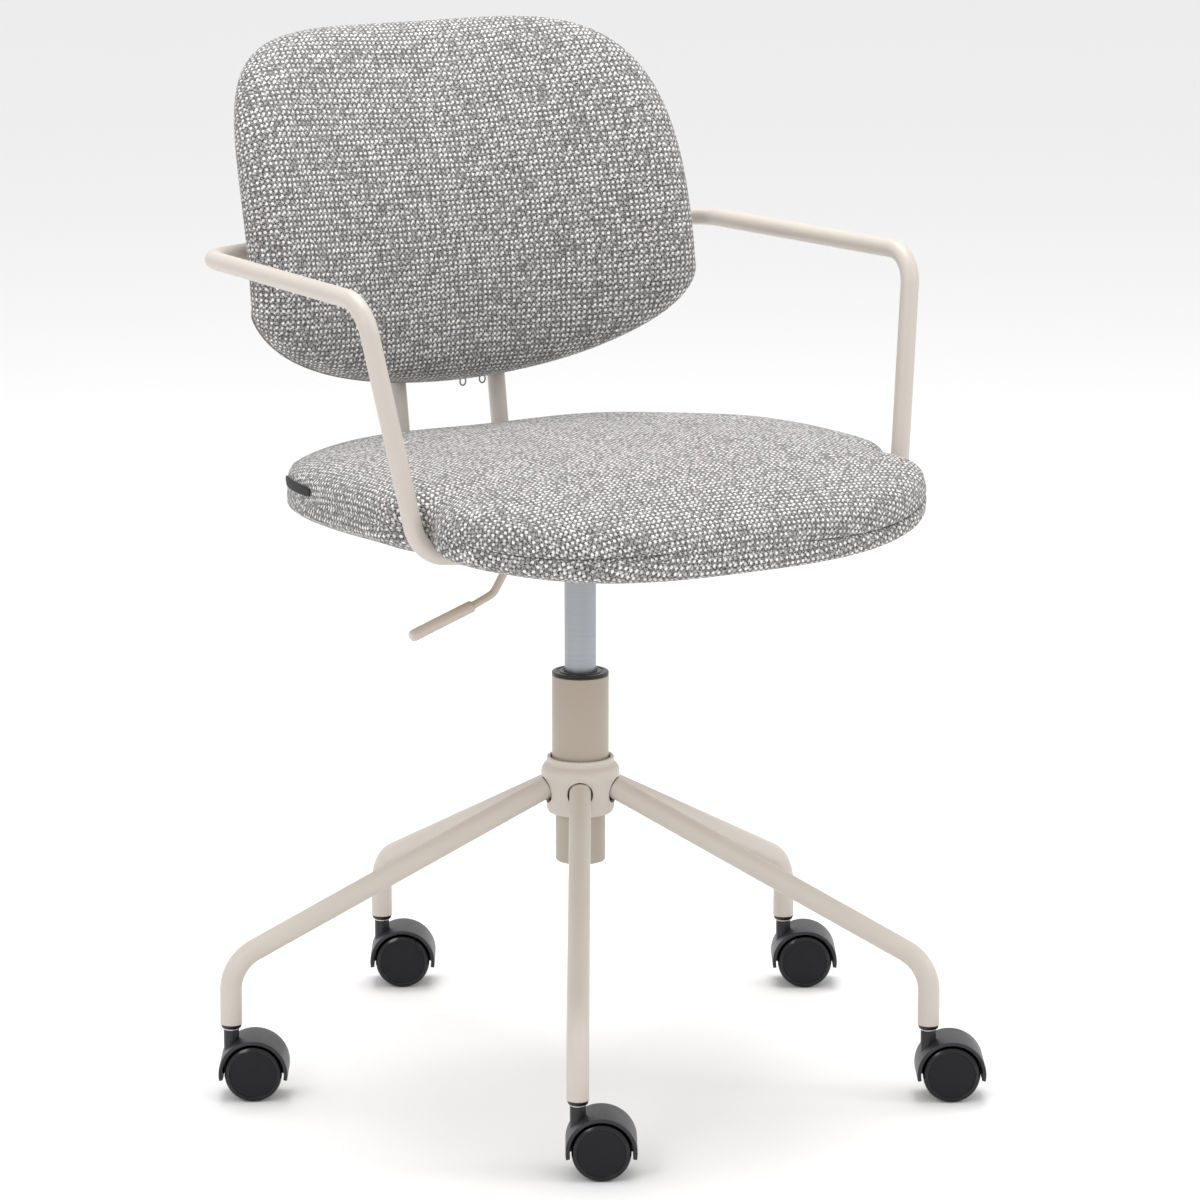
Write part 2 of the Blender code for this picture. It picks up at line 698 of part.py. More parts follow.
# ---------------------------------------------------------------- seat
def seat_outline(theta):
    c = math.cos(theta)
    s = math.sin(theta)
    n = SEAT_N_FRONT if s < 0.0 else SEAT_N_REAR
    x = SEAT_HALF * signed_power(c, 2.0 / n)
    depth = SEAT_CY - SEAT_FRONT if s < 0.0 else SEAT_REAR - SEAT_CY
    return x, depth * signed_power(s, 2.0 / n)


def seat_mid(y):
    drop = SEAT_FALL * max(0.0, -y / 0.24) ** 3
    return SEAT_MID_Z + SEAT_TILT * y - drop


def seat_point(theta, k, z=None, rise=0.0, pinch=0.0):
    """A point of the seat at share k of its outline.  pinch pulls the sides in at the arm posts."""
    ox, oy = seat_outline(theta)
    x = ox * k
    y = SEAT_CY + oy * k
    if pinch > 0.0:
        near = math.exp(-((y - ARM_LOW.y) / 0.026) ** 2)
        edge = max(0.0, (abs(x) - 0.150) / (SEAT_HALF - 0.150))
        x -= math.copysign(pinch * near * edge, x)
    if z is None:
        z = seat_mid(y) + rise
    return Vector((x, y, z))


def seat_angles(count):
    return [2.0 * math.pi * (i + 0.5) / count for i in range(count)]


def build_seat(fabric, wood, label):
    count = 48
    angles = seat_angles(count)
    rings = []
    for k in (0.25, 0.50):
        rings.append([seat_point(t, k, rise=SEAT_TOP) for t in angles])
    for s in (0.992, 0.96, 0.88, 0.74, 0.54, 0.27, 0.0):
        k = (1.0 - s ** SEAT_TOP_N) ** (1.0 / SEAT_TOP_N)
        rings.append([seat_point(t, k, rise=SEAT_TOP * s, pinch=0.0205) for t in angles])
    for k in (0.972, 0.92, 0.86, 0.81):
        s = (1.0 - k ** SEAT_LOW_N) ** (1.0 / SEAT_LOW_N)
        rings.append([seat_point(t, k, rise=-SEAT_LOW * s, pinch=0.0205) for t in angles])
    for k in (0.79, 0.45):
        rings.append([seat_point(t, k, z=SEAT_CEILING) for t in angles])
    top = Vector((0.0, SEAT_CY, seat_mid(SEAT_CY) + SEAT_TOP))
    low = Vector((0.0, SEAT_CY, SEAT_CEILING))
    cushion = add_object("seat_cushion", ring_stack(rings, top, low), Vector((0, 0, 0)), fabric)
    cut_arm_grooves(cushion)
    cut_upright_grooves(cushion)

    edge = [seat_point(t, 0.745) for t in seat_angles(40)]
    board = add_object("seat_board", slab(edge, BOARD_Z, BOARD_Z + BOARD_T),
                       Vector((0, 0, 0)), wood, smooth=False)
    for sign, tag in ((-1.0, "left"), (1.0, "right")):
        lows = (min(sign * 0.125, sign * 0.230), -0.1480, BOARD_Z - 0.01)
        highs = (max(sign * 0.125, sign * 0.230), -0.1180, BOARD_Z + BOARD_T + 0.01)
        combine(board, cutter("board_notch_" + tag, box(lows, highs)), "DIFFERENCE")

    add_object("seat_tag", tag_strip(), Vector((0, 0, 0)), label, smooth=False)


def tag_strip():
    """Thin label that lies against the side of the cushion and follows its outline."""
    bm = bmesh.new()
    steps = 10
    rings = []
    for i in range(steps + 1):
        t = math.radians(TAG_FROM + (TAG_TO - TAG_FROM) * i / steps)
        here = seat_point(t, 1.0, rise=TAG_RISE)
        ahead = seat_point(t + 0.01, 1.0, rise=TAG_RISE) - here
        out = Vector((-ahead.y, ahead.x, 0.0)).normalized()
        if out.dot(here) < 0.0:
            out = -out
        near = here + out * 0.0006
        far = here + out * 0.0016
        up = Vector((0.0, 0.0, TAG_HALF))
        rings.append([bm.verts.new(p) for p in (near - up, far - up, far + up, near + up)])
    for i in range(steps):
        join_rings(bm, rings[i], rings[i + 1])
    bm.faces.new(rings[0])
    bm.faces.new(rings[-1])
    return bm


def slab(edge, low, high):
    bm = bmesh.new()
    a = [bm.verts.new((p.x, p.y, low)) for p in edge]
    b = [bm.verts.new((p.x, p.y, high)) for p in edge]
    join_rings(bm, a, b)
    bm.faces.new(a)
    bm.faces.new(b)
    return bm


def cut_arm_grooves(cushion):
    for sign, tag in ((-1.0, "left"), (1.0, "right")):
        slope = (ARM_LOW.z - RUN_Z) / (ARM_LOW.x - 0.14)
        top = []
        for x in (0.120, 0.140, 0.205):
            z = RUN_Z + max(0.0, x - 0.14) * slope + TUBE_R + 0.0016
            top.append((sign * x, z))
        centre = Vector((ARM_LOW.x - ARM_BEND - 0.0015, 0.0, ARM_LOW.z + ARM_BEND - 0.0040))
        for k in range(0, 7):
            a = math.radians(-82.0 + 14.0 * k)
            r = ARM_BEND - TUBE_R - 0.0016
            top.append((sign * (centre.x + r * math.cos(a)), centre.z + r * math.sin(a)))
        outline = top + [(sign * 0.300, 0.5460), (sign * 0.300, 0.4400), (sign * 0.120, 0.4400)]
        bm = prism(outline, "y", -0.1490, -0.1210)
        combine(cushion, cutter("arm_groove_" + tag, bm), "DIFFERENCE")


def cut_upright_grooves(cushion):
    corner = upright_y(RUN_Z)
    reach = 0.030 * math.tan((math.pi / 2.0 - math.atan(UPRIGHT_LEAN)) / 2.0)
    centre = (corner - reach, RUN_Z + 0.030)
    margin = TUBE_R + 0.0016
    outline = [(0.120, 0.4400), (0.120, RUN_Z + margin)]
    for k in range(0, 8):
        a = math.radians(81.0 * k / 7.0)
        r = 0.030 - margin
        outline.append((centre[0] + r * math.sin(a), centre[1] - r * math.cos(a)))
    outline.append((upright_y(0.600) - margin * 1.012, 0.600))
    outline.append((0.300, 0.600))
    outline.append((0.300, 0.4400))
    for sign, tag in ((-1.0, "left"), (1.0, "right")):
        x = sign * UPRIGHT_X
        bm = prism(outline, "x", x - margin, x + margin)
        combine(cushion, cutter("upright_groove_" + tag, bm), "DIFFERENCE")


# ---------------------------------------------------------------- back
def back_outline(theta):
    c = math.cos(theta)
    s = math.sin(theta)
    n = BACK_UP_N if s > 0.0 else BACK_DOWN_N
    reach = BACK_UP if s > 0.0 else BACK_DOWN
    v = reach * signed_power(s, 2.0 / n)
    u = BACK_HALF * signed_power(c, 2.0 / n) * (1.0 - BACK_TAPER * max(0.0, v) / BACK_UP)
    return u, v + BACK_WIDEST


def back_map(u, w, d):
    """Bends the flat cushion: round about a vertical axis, hollow up and down, leaning back."""
    t = u / BACK_WRAP
    x = (BACK_WRAP + d) * math.sin(t)
    deep = (BACK_WRAP + d) * math.cos(t) - BACK_WRAP + BACK_CURVE * w * w
    y = BACK_Y + deep * math.cos(BACK_LEAN) + w * math.sin(BACK_LEAN)
    z = BACK_Z + w * math.cos(BACK_LEAN) - deep * math.sin(BACK_LEAN)
    return Vector((x, y, z))


def back_point(theta, k, d):
    u, w = back_outline(theta)
    return back_map(u * k, w * k, d)


def edge_share(level):
    """Share of the outline and share of the half thickness at one angle round the edge."""
    c = abs(math.cos(level)) ** (2.0 / BACK_EDGE_N)
    s = signed_power(math.sin(level), 2.0 / BACK_EDGE_N)
    return 1.0 - (1.0 - c) * 0.2, s


def build_back(fabric, wood, zip_metal):
    count = 44
    half = BACK_T / 2.0
    angles = [2.0 * math.pi * (i + 0.5) / count for i in range(count)]
    rings = [[back_point(t, k, -half) for t in angles] for k in (0.27, 0.54)]
    for k in range(-5, 6):
        share, depth = edge_share(math.radians(18.0 * k))
        rings.append([back_point(t, share, half * depth) for t in angles])
    for k, d in ((0.665, half), (0.660, 0.0158), (0.50, 0.0158), (0.33, 0.0158), (0.16, 0.0158)):
        rings.append([back_point(t, k, d) for t in angles])
    first = back_map(0.0, 0.0, -half)
    last = back_map(0.0, 0.0, 0.0158)
    add_object("back_cushion", ring_stack(rings, first, last), Vector((0, 0, 0)), fabric)

    rings = []
    shares = (0.16, 0.33, 0.50, 0.645)
    for k, d in [(k, 0.0164) for k in shares] + [(k, 0.0224) for k in reversed(shares)]:
        rings.append([back_point(t, k, d) for t in angles])
    board = ring_stack(rings, back_map(0.0, 0.0, 0.0164), back_map(0.0, 0.0, 0.0224))
    add_object("back_board", board, Vector((0, 0, 0)), wood)

    share, depth = edge_share(math.radians(42.0))
    path = []
    for i in range(31):
        t = math.radians(186.0 + 168.0 * i / 30.0)
        path.append(back_point(t, share + 0.0115, half * depth + 0.0012))
    add_object("zip_chain", sweep(path, 0.0013, 6), Vector((0, 0, 0)), zip_metal)

    for angle, tag in ((272.8, "a"), (277.7, "b")):
        pull_at = back_point(math.radians(angle), share + 0.0290, half * depth + 0.0016)
        loop = []
        for k in range(14):
            a = 2.0 * math.pi * k / 14.0
            width = 0.0026 + 0.0010 * (1.0 - math.cos(a)) / 2.0
            loop.append(pull_at + Vector((width * math.sin(a), 0.0, -0.0048 + 0.0048 * math.cos(a))))
        add_object("zip_pull_" + tag, sweep(loop, 0.0006, 8, loop=True), pull_at, zip_metal)


# ---------------------------------------------------------------- the whole chair
def build_chair():
    paint = material("greige_powder_coat", (0.665, 0.605, 0.545), 0.0, 0.45)
    column_paint = material("column_powder_coat", (0.52, 0.46, 0.40), 0.0, 0.5)
    plastic = material("black_nylon", (0.022, 0.022, 0.024), 0.0, 0.5)
    gloss = material("black_caster_plastic", (0.012, 0.012, 0.014), 0.0, 0.25)
    steel = material("zinc_plated_steel", (0.62, 0.62, 0.60), 1.0, 0.35)
    lift = material("satin_lift_tube", (0.32, 0.33, 0.35), 0.7, 0.4)
    fabric = material("grey_boucle", (0.36, 0.36, 0.365), 0.0, 0.95)
    wood = material("birch_plywood", (0.55, 0.40, 0.24), 0.0, 0.6)
    label = material("black_woven_label", (0.01, 0.01, 0.01), 0.0, 0.8)
    zip_metal = material("nickel_zip", (0.35, 0.35, 0.36), 0.8, 0.35)
    build_hub(paint, steel)
    build_legs(paint)
    build_casters(plastic, gloss, steel)
    build_column(column_paint, plastic, steel, lift)
    build_mechanism(paint, steel)
    build_lever(paint, paint)
    build_arm_frame(paint)
    build_uprights(paint)
    build_seat(fabric, wood, label)
    build_back(fabric, wood, zip_metal)


clear_scene()
COLLECTION = bpy.data.collections.new("swivel_office_chair")
bpy.context.scene.collection.children.link(COLLECTION)
CUTTERS = bpy.data.collections.new("cutters")
bpy.context.scene.collection.children.link(CUTTERS)
build_chair()
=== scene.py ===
import bpy
import bmesh
import math
import numpy as np
from mathutils import Matrix, Vector

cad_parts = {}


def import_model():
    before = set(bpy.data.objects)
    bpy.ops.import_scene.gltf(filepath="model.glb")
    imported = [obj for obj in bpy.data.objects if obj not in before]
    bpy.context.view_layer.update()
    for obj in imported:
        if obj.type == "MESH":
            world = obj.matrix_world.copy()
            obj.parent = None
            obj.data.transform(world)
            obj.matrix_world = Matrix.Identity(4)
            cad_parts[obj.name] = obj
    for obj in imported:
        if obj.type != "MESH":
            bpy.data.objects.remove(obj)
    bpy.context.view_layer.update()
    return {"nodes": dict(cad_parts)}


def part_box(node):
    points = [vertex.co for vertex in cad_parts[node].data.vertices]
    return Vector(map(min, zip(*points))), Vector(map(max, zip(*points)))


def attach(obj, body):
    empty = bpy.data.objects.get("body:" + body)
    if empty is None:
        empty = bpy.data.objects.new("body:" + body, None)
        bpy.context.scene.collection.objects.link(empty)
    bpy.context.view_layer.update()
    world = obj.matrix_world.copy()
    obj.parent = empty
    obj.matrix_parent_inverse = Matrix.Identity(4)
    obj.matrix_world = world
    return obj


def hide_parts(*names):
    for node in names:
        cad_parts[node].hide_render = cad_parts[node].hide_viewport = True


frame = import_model()
NODES = frame["nodes"]

# ---------------- chair sizes, in metres
AXIS = Vector((-0.0090, -0.0130, 0.0))
LEG_ANGLES = (-31.5, 40.5, 112.5, 184.5, 256.5)
LEG_TAGS = ("front", "right_front", "right_rear", "rear", "left")
LEG_CIRCLE = 0.3190      # from the column to the middle of each leg's upright end
LEG_RADIUS = 0.0095
LEG_INNER = 0.0308       # where a leg meets the hub
LEG_SLOPE = 0.4718
LEG_KNEE = 0.1191        # height at which the sloping line meets the upright end
LEG_FOOT = 0.0655
TRAIL = 0.0195           # from a caster's stem to its axle
TRAIL_ANGLE = math.atan2(-0.0100, 0.0167)
TUBE_RADIUS = 0.0080     # arm frame and uprights
TUBE_LOW = 0.4995        # height of those tubes under the seat
ARM_LOW = Vector((0.2393, -0.1390, 0.5105))
ARM_FRONT = Vector((0.2730, -0.1070, 0.7205))
ARM_REAR = Vector((0.2570, 0.2020, 0.7165))
RAIL_SWEEP = 0.7260      # bend radius of the rear rail
UPRIGHT_X = 0.0514


def upright_y(z):
    """The uprights lean back a little, as the back cushion does."""
    return 0.2305 + (z - 0.5635) * 0.1584


# ---------------- materials
def linear(hex_colour):
    """sRGB hex to the linear colour the shader wants."""
    parts = [int(hex_colour[i:i + 2], 16) / 255.0 for i in (1, 3, 5)]
    return [c / 12.92 if c <= 0.04045 else ((c + 0.055) / 1.055) ** 2.4 for c in parts] + [1.0]


def add_node(tree, kind, settings=None, values=None, links=None):
    """One node with its settings, socket values and links; a link's source is (node, output)."""
    node = tree.nodes.new(kind)
    for key, value in (settings or {}).items():
        setattr(node, key, value)
    for key, value in (values or {}).items():
        node.inputs[key].default_value = value
    for key, (source, output) in (links or {}).items():
        tree.links.new(source.outputs[output], node.inputs[key])
    return node


def new_material(name, colour, roughness, metallic=0.0, **sockets):
    mat = bpy.data.materials.new(name)
    mat.use_nodes = True
    shader = mat.node_tree.nodes["Principled BSDF"]
    shader.inputs["Base Color"].default_value = linear(colour)
    shader.inputs["Roughness"].default_value = roughness
    shader.inputs["Metallic"].default_value = metallic
    for key, value in sockets.items():
        shader.inputs[key.replace("_", " ")].default_value = value
    mat.diffuse_color = linear(colour)
    return mat, mat.node_tree, shader


def set_ramp(node, stops):
    ramp = node.color_ramp
    while len(ramp.elements) < len(stops):
        ramp.elements.new(0.5)
    for element, (at, colour) in zip(ramp.elements, stops):
        element.position = at
        element.color = linear(colour)
    return node


def dress(tree, shader, tones, tone_by, relief, relief_by, span=None, span_by=None):
    """Lets patterns drive a finish: a mix of two tones, a fine relief and a span of roughness."""
    tone = add_node(tree, "ShaderNodeMix", {"data_type": "RGBA"},
                    {"A": linear(tones[0]), "B": linear(tones[1])}, {"Factor": tone_by})
    tree.links.new(tone.outputs["Result"], shader.inputs["Base Color"])
    bump = add_node(tree, "ShaderNodeBump", None, {"Strength": relief[0], "Distance": relief[1]},
                    {"Height": relief_by})
    tree.links.new(bump.outputs["Normal"], shader.inputs["Normal"])
    if span:
        rough = add_node(tree, "ShaderNodeMapRange", None, {"To Min": span[0], "To Max": span[1]},
                         {"Value": span_by})
        tree.links.new(rough.outputs["Result"], shader.inputs["Roughness"])


def powder_coat(name, colour, worn):
    """Polyester powder coat on steel tube: satin, with a very fine orange peel and faint tone drift."""
    mat, tree, shader = new_material(name, colour, 0.40, Coat_Weight=0.10, Coat_Roughness=0.30)
    place = add_node(tree, "ShaderNodeTexCoord")
    peel = add_node(tree, "ShaderNodeTexNoise", None, {"Scale": 900.0, "Detail": 2.0},
                    {"Vector": (place, "Object")})
    drift = add_node(tree, "ShaderNodeTexNoise", None, {"Scale": 14.0, "Detail": 3.0},
                     {"Vector": (place, "Object")})
    dress(tree, shader, (colour, worn), (drift, "Fac"), (0.10, 0.0003), (peel, "Fac"),
          (0.36, 0.47), (peel, "Fac"))
    return mat


def moulded_nylon(name, colour, light, grain, roughness, strength, shine=0.5):
    """Glass-filled nylon with a spark-eroded grain, so it looks dry and slightly grey in the light."""
    mat, tree, shader = new_material(name, colour, roughness, Specular_IOR_Level=shine)
    place = add_node(tree, "ShaderNodeTexCoord")
    pits = add_node(tree, "ShaderNodeTexVoronoi", None, {"Scale": 1.0 / grain},
                    {"Vector": (place, "Object")})
    cloud = add_node(tree, "ShaderNodeTexNoise", None, {"Scale": 60.0, "Detail": 4.0},
                     {"Vector": (place, "Object")})
    dress(tree, shader, (colour, light), (cloud, "Fac"), (strength, 0.0003),
          (pits, "Distance"), (roughness - 0.06, roughness + 0.08), (cloud, "Fac"))
    return mat


def drawn_metal(name, colour, dark, roughness, metallic, lines):
    """Drawn or ground steel: fine lines round or along the bar break up the shine."""
    mat, tree, shader = new_material(name, colour, roughness, metallic)
    place = add_node(tree, "ShaderNodeTexCoord")
    stretch = add_node(tree, "ShaderNodeMapping", None, {"Scale": lines},
                       {"Vector": (place, "Object")})
    streak = add_node(tree, "ShaderNodeTexNoise", None, {"Scale": 1.0, "Detail": 3.0},
                      {"Vector": (stretch, "Vector")})
    dress(tree, shader, (colour, dark), (streak, "Fac"), (0.08, 0.0002), (streak, "Fac"),
          (roughness - 0.07, roughness + 0.09), (streak, "Fac"))
    return mat


LOOP_PITCH = (0.0050, 0.0048)
CLOTH_MAP = "weave"


def basket_boucle():
    """Coarse melange basket weave: rows of light woollen loops 5 mm apart, smaller grey loops between them,
    gaps of grey ground yarn darkened to near-black as painted shade between the loops, and long lighter and
    darker slubs along the rows."""
    mat, tree, shader = new_material("grey_basket_boucle", "#9C9999", 0.95, Sheen_Weight=0.12,
                                     Sheen_Roughness=0.5)
    uv = add_node(tree, "ShaderNodeUVMap", {"uv_map": CLOTH_MAP})
    sway = add_node(tree, "ShaderNodeTexNoise", {"noise_dimensions": "2D"}, {"Scale": 22.0, "Detail": 2.0},
                    {"Vector": (uv, "UV")})
    lean = add_node(tree, "ShaderNodeVectorMath", {"operation": "MULTIPLY_ADD"},
                    {1: (0.0016, 0.0016, 0.0), 2: (-0.0008, -0.0008, 0.0)}, {0: (sway, "Color")})
    moved = add_node(tree, "ShaderNodeVectorMath", {"operation": "ADD"}, None,
                     {0: (uv, "UV"), 1: (lean, "Vector")})
    # each kind: how far its grid is shifted, how uneven its places are, and where its edge and top lie
    masks, picks = [], []
    for tag, shift, spread, edge, top in (("light_loops", 0.0, 0.22, 0.36, 0.19),
                                          ("grey_loops", 0.5, 0.40, 0.33, 0.14)):
        grid = add_node(tree, "ShaderNodeMapping", {"label": tag},
                        {"Location": (shift, shift, 0.0),
                         "Scale": (1.0 / LOOP_PITCH[0], 1.0 / LOOP_PITCH[1], 1.0)},
                        {"Vector": (moved, "Vector")})
        cell = add_node(tree, "ShaderNodeTexVoronoi", {"voronoi_dimensions": "2D"},
                        {"Scale": 1.0, "Randomness": spread}, {"Vector": (grid, "Vector")})
        picks.append(add_node(tree, "ShaderNodeSeparateColor", None, None, {"Color": (cell, "Color")}))
        masks.append(add_node(tree, "ShaderNodeMapRange", {"interpolation_type": "SMOOTHSTEP"},
                              {"From Min": edge, "From Max": top}, {"Value": (cell, "Distance")}))
    light, grey = masks
    fibre = add_node(tree, "ShaderNodeTexNoise", {"noise_dimensions": "2D"},
                     {"Scale": 800.0, "Detail": 3.0, "Roughness": 0.65}, {"Vector": (uv, "UV")})
    stretch = add_node(tree, "ShaderNodeMapping", {"label": "slubs"}, {"Scale": (30.0, 200.0, 1.0)},
                       {"Vector": (uv, "UV")})
    slub = add_node(tree, "ShaderNodeTexNoise", {"noise_dimensions": "2D"}, {"Scale": 1.0, "Detail": 2.0},
                    {"Vector": (stretch, "Vector")})
    # the ground ramp's near-black end is painted shade in the gaps between the loops; its mid-grey is the
    # ground yarn
    ground = set_ramp(add_node(tree, "ShaderNodeValToRGB", None, None, {"Fac": (fibre, "Fac")}),
                      [(0.40, "#302E2F"), (0.51, "#6A6869"), (0.63, "#B6B3B2")])
    grey_pick, light_pick = (picks[1], "Green"), (picks[0], "Red")
    grey_tone = set_ramp(add_node(tree, "ShaderNodeValToRGB", None, None, {"Fac": grey_pick}),
                         [(0.10, "#787576"), (0.50, "#AFACAC"), (0.92, "#E2DFDD")])
    light_tone = set_ramp(add_node(tree, "ShaderNodeValToRGB", None, None, {"Fac": light_pick}),
                          [(0.05, "#ACA9A9"), (0.30, "#E6E3E1"), (0.70, "#FFFDFA")])
    low = add_node(tree, "ShaderNodeMix", {"data_type": "RGBA"}, None,
                   {"Factor": (grey, "Result"), "A": (ground, "Color"),
                    "B": (grey_tone, "Color")})
    high = add_node(tree, "ShaderNodeMix", {"data_type": "RGBA"}, None,
                    {"Factor": (light, "Result"), "A": (low, "Result"),
                     "B": (light_tone, "Color")})
    fuzz = add_node(tree, "ShaderNodeMapRange", None,
                    {"From Min": 0.3, "From Max": 0.7, "To Min": 0.78, "To Max": 1.08},
                    {"Value": (fibre, "Fac")})
    drift = add_node(tree, "ShaderNodeMapRange", None,
                     {"From Min": 0.3, "From Max": 0.7, "To Min": 0.80, "To Max": 1.10},
                     {"Value": (slub, "Fac")})
    share = add_node(tree, "ShaderNodeMath", {"operation": "MULTIPLY"}, None,
                     {0: (fuzz, "Result"), 1: (drift, "Result")})
    worn = add_node(tree, "ShaderNodeVectorMath", {"operation": "SCALE"}, None,
                    {0: (high, "Result"), "Scale": (share, "Value")})
    tree.links.new(worn.outputs["Vector"], shader.inputs["Base Color"])
    half = add_node(tree, "ShaderNodeMath", {"operation": "MULTIPLY"}, {1: 0.65},
                    {0: (grey, "Result")})
    tallest = add_node(tree, "ShaderNodeMath", {"operation": "MAXIMUM"}, None,
                       {0: (light, "Result"), 1: (half, "Value")})
    height = add_node(tree, "ShaderNodeMath", {"operation": "MULTIPLY_ADD"}, {1: 0.30},
                      {0: (fibre, "Fac"), 2: (tallest, "Value")})
    bump = add_node(tree, "ShaderNodeBump", None, {"Strength": 0.9, "Distance": 0.0012},
                    {"Height": (height, "Value")})
    tree.links.new(bump.outputs["Normal"], shader.inputs["Normal"])
    return mat


def plywood(name):
    """Birch plywood, sanded and oiled: pale, with darker glue lines across the edge."""
    mat, tree, shader = new_material(name, "#C9A877", 0.55)
    place = add_node(tree, "ShaderNodeTexCoord")
    stretch = add_node(tree, "ShaderNodeMapping", None, {"Scale": (6.0, 90.0, 500.0)},
                       {"Vector": (place, "Object")})
    grain = add_node(tree, "ShaderNodeTexNoise", None, {"Scale": 1.0, "Detail": 5.0},
                     {"Vector": (stretch, "Vector")})
    tone = set_ramp(add_node(tree, "ShaderNodeValToRGB", None, None, {"Fac": (grain, "Fac")}),
                    [(0.30, "#A47E4D"), (0.55, "#C9A877"), (0.75, "#DCC299")])
    tree.links.new(tone.outputs["Color"], shader.inputs["Base Color"])
    bump = add_node(tree, "ShaderNodeBump", None, {"Strength": 0.12, "Distance": 0.0003},
                    {"Height": (grain, "Fac")})
    tree.links.new(bump.outputs["Normal"], shader.inputs["Normal"])
    return mat


def woven_tape(name, colour, light, pitch):
    """Fine ribbed polyester tape, as on labels and zips: rows of small ribs with a dull shine."""
    mat, tree, shader = new_material(name, colour, 0.75)
    place = add_node(tree, "ShaderNodeTexCoord")
    ribs = add_node(tree, "ShaderNodeTexWave", {"bands_direction": "Z"},
                    {"Scale": 1.0 / (pitch * 20.0), "Distortion": 1.0}, {"Vector": (place, "Object")})
    dress(tree, shader, (colour, light), (ribs, "Fac"), (0.3, 0.0003), (ribs, "Fac"))
    return mat


# warm greige coat on legs, arms and hub; the column takes a darker copy of the same coat, painted shade for
# the shadow under the seat
FRAME_COAT = powder_coat("greige_powder_coat", "#C7BEB5", "#C0B7AE")
SHADED_COLUMN_COAT = powder_coat("column_powder_coat", "#ABA092", "#A2978A")
# dry dark grey nylon of the caster hoods, and the smoother black of bush and sockets
HOOD_NYLON = moulded_nylon("grained_hood_nylon", "#1C1C20", "#26262B", 0.0009, 0.38, 0.45, 0.42)
BLACK_NYLON = moulded_nylon("black_moulded_nylon", "#0D0D0E", "#141416", 0.0006, 0.28, 0.15)
# polyamide wheels: near black, with a moulded gloss on the rim and a finer matt on the face
WHEEL_SHINE = moulded_nylon("polished_wheel_rim", "#09090B", "#0E0E10", 0.0008, 0.14, 0.03, 0.40)
WHEEL_FACE = moulded_nylon("wheel_face_polyamide", "#15151A", "#1A1A1F", 0.0007, 0.46, 0.15, 0.22)
# ground steel lift tube with lines round it, and zinc-plated small parts
LIFT_TUBE = drawn_metal("ground_lift_tube", "#A3A6AB", "#93969B", 0.34, 0.85, (30.0, 30.0, 2600.0))
ZINC = drawn_metal("zinc_plated_steel", "#D2D2CE", "#B5B5B2", 0.28, 1.0, (500.0, 500.0, 60.0))
NICKEL = drawn_metal("nickel_zip_wire", "#8F8F90", "#6C6C6E", 0.30, 0.9, (800.0, 800.0, 800.0))
BOUCLE = basket_boucle()
BIRCH = plywood("birch_plywood")
LABEL = woven_tape("black_label_tape", "#0B0B0C", "#1A1A1C", 0.0006)
ZIP_TAPE = woven_tape("brown_grey_zip_tape", "#6E645C", "#8A8076", 0.0008)
THREAD = woven_tape("dark_sewing_thread", "#3A3A3D", "#56565A", 0.0005)


# ---------------- mesh helpers
def spot(x, y, z):
    return Vector((x, y, z)) + AXIS


def new_object(name, data):
    obj = bpy.data.objects.new(name, data)
    bpy.context.scene.collection.objects.link(obj)
    return obj


def as_object(name, bm, mats):
    """A mesh that is smooth but for its sharp edges; every face is turned outwards."""
    bmesh.ops.recalc_face_normals(bm, faces=bm.faces[:])
    mesh = bpy.data.meshes.new(name)
    bm.to_mesh(mesh)
    bm.free()
    for mat in mats:
        mesh.materials.append(mat)
    mesh.shade_smooth()
    mesh.set_sharp_from_angle(angle=math.radians(32.0))
    return new_object(name, mesh)


def stand_for(obj, body, slot, *nodes):
    """A piece that rides on a body and takes the place of CAD nodes."""
    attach(obj, body)
    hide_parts(*nodes)


def added_to(obj, body):
    """A piece that rides on a body and stands for no CAD node."""
    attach(obj, body)


def turned(profile, steps, closed, matrix=None, slots=None):
    """Spins (r, z) points about Z; slots gives each stretch of the profile its material number."""
    bm = bmesh.new()
    verts = [bm.verts.new((max(r, 0.0), 0.0, z)) for r, z in profile]
    edges = [bm.edges.new((a, b)) for a, b in zip(verts, verts[1:])]
    if closed:
        edges.append(bm.edges.new((verts[-1], verts[0])))
    bmesh.ops.spin(bm, geom=verts + edges, cent=(0, 0, 0), axis=(0, 0, 1), dvec=(0, 0, 0),
                   angle=2.0 * math.pi, steps=steps, use_merge=True, use_duplicate=False)
    bmesh.ops.remove_doubles(bm, verts=bm.verts[:], dist=0.000002)
    if slots:
        for face in bm.faces:
            c = face.calc_center_median()
            face.material_index = slots(math.hypot(c.x, c.y), c.z)
    if matrix is not None:
        bm.transform(matrix)
    return bm


def softened(profile, radius, closed=False, parts=3):
    """Rounds every corner of a turned profile, so edges catch the light as moulded ones do."""
    out = []
    count = len(profile)
    for i, p in enumerate(profile):
        if not closed and i in (0, count - 1):
            out.append(p)
            continue
        here = Vector(p)
        a = Vector(profile[i - 1]) - here
        b = Vector(profile[(i + 1) % count]) - here
        reach = min(radius, a.length * 0.42, b.length * 0.42)
        start = here + a.normalized() * reach
        end = here + b.normalized() * reach
        for k in range(parts + 1):
            t = k / parts
            q = start * (1 - t) ** 2 + here * 2 * t * (1 - t) + end * t ** 2
            out.append((q.x, q.y))
    return out


def add_to(bm, extra):
    """Puts one closed shell beside another in the same mesh."""
    mesh = bpy.data.meshes.new("part")
    extra.to_mesh(mesh)
    extra.free()
    bm.from_mesh(mesh)
    bpy.data.meshes.remove(mesh)


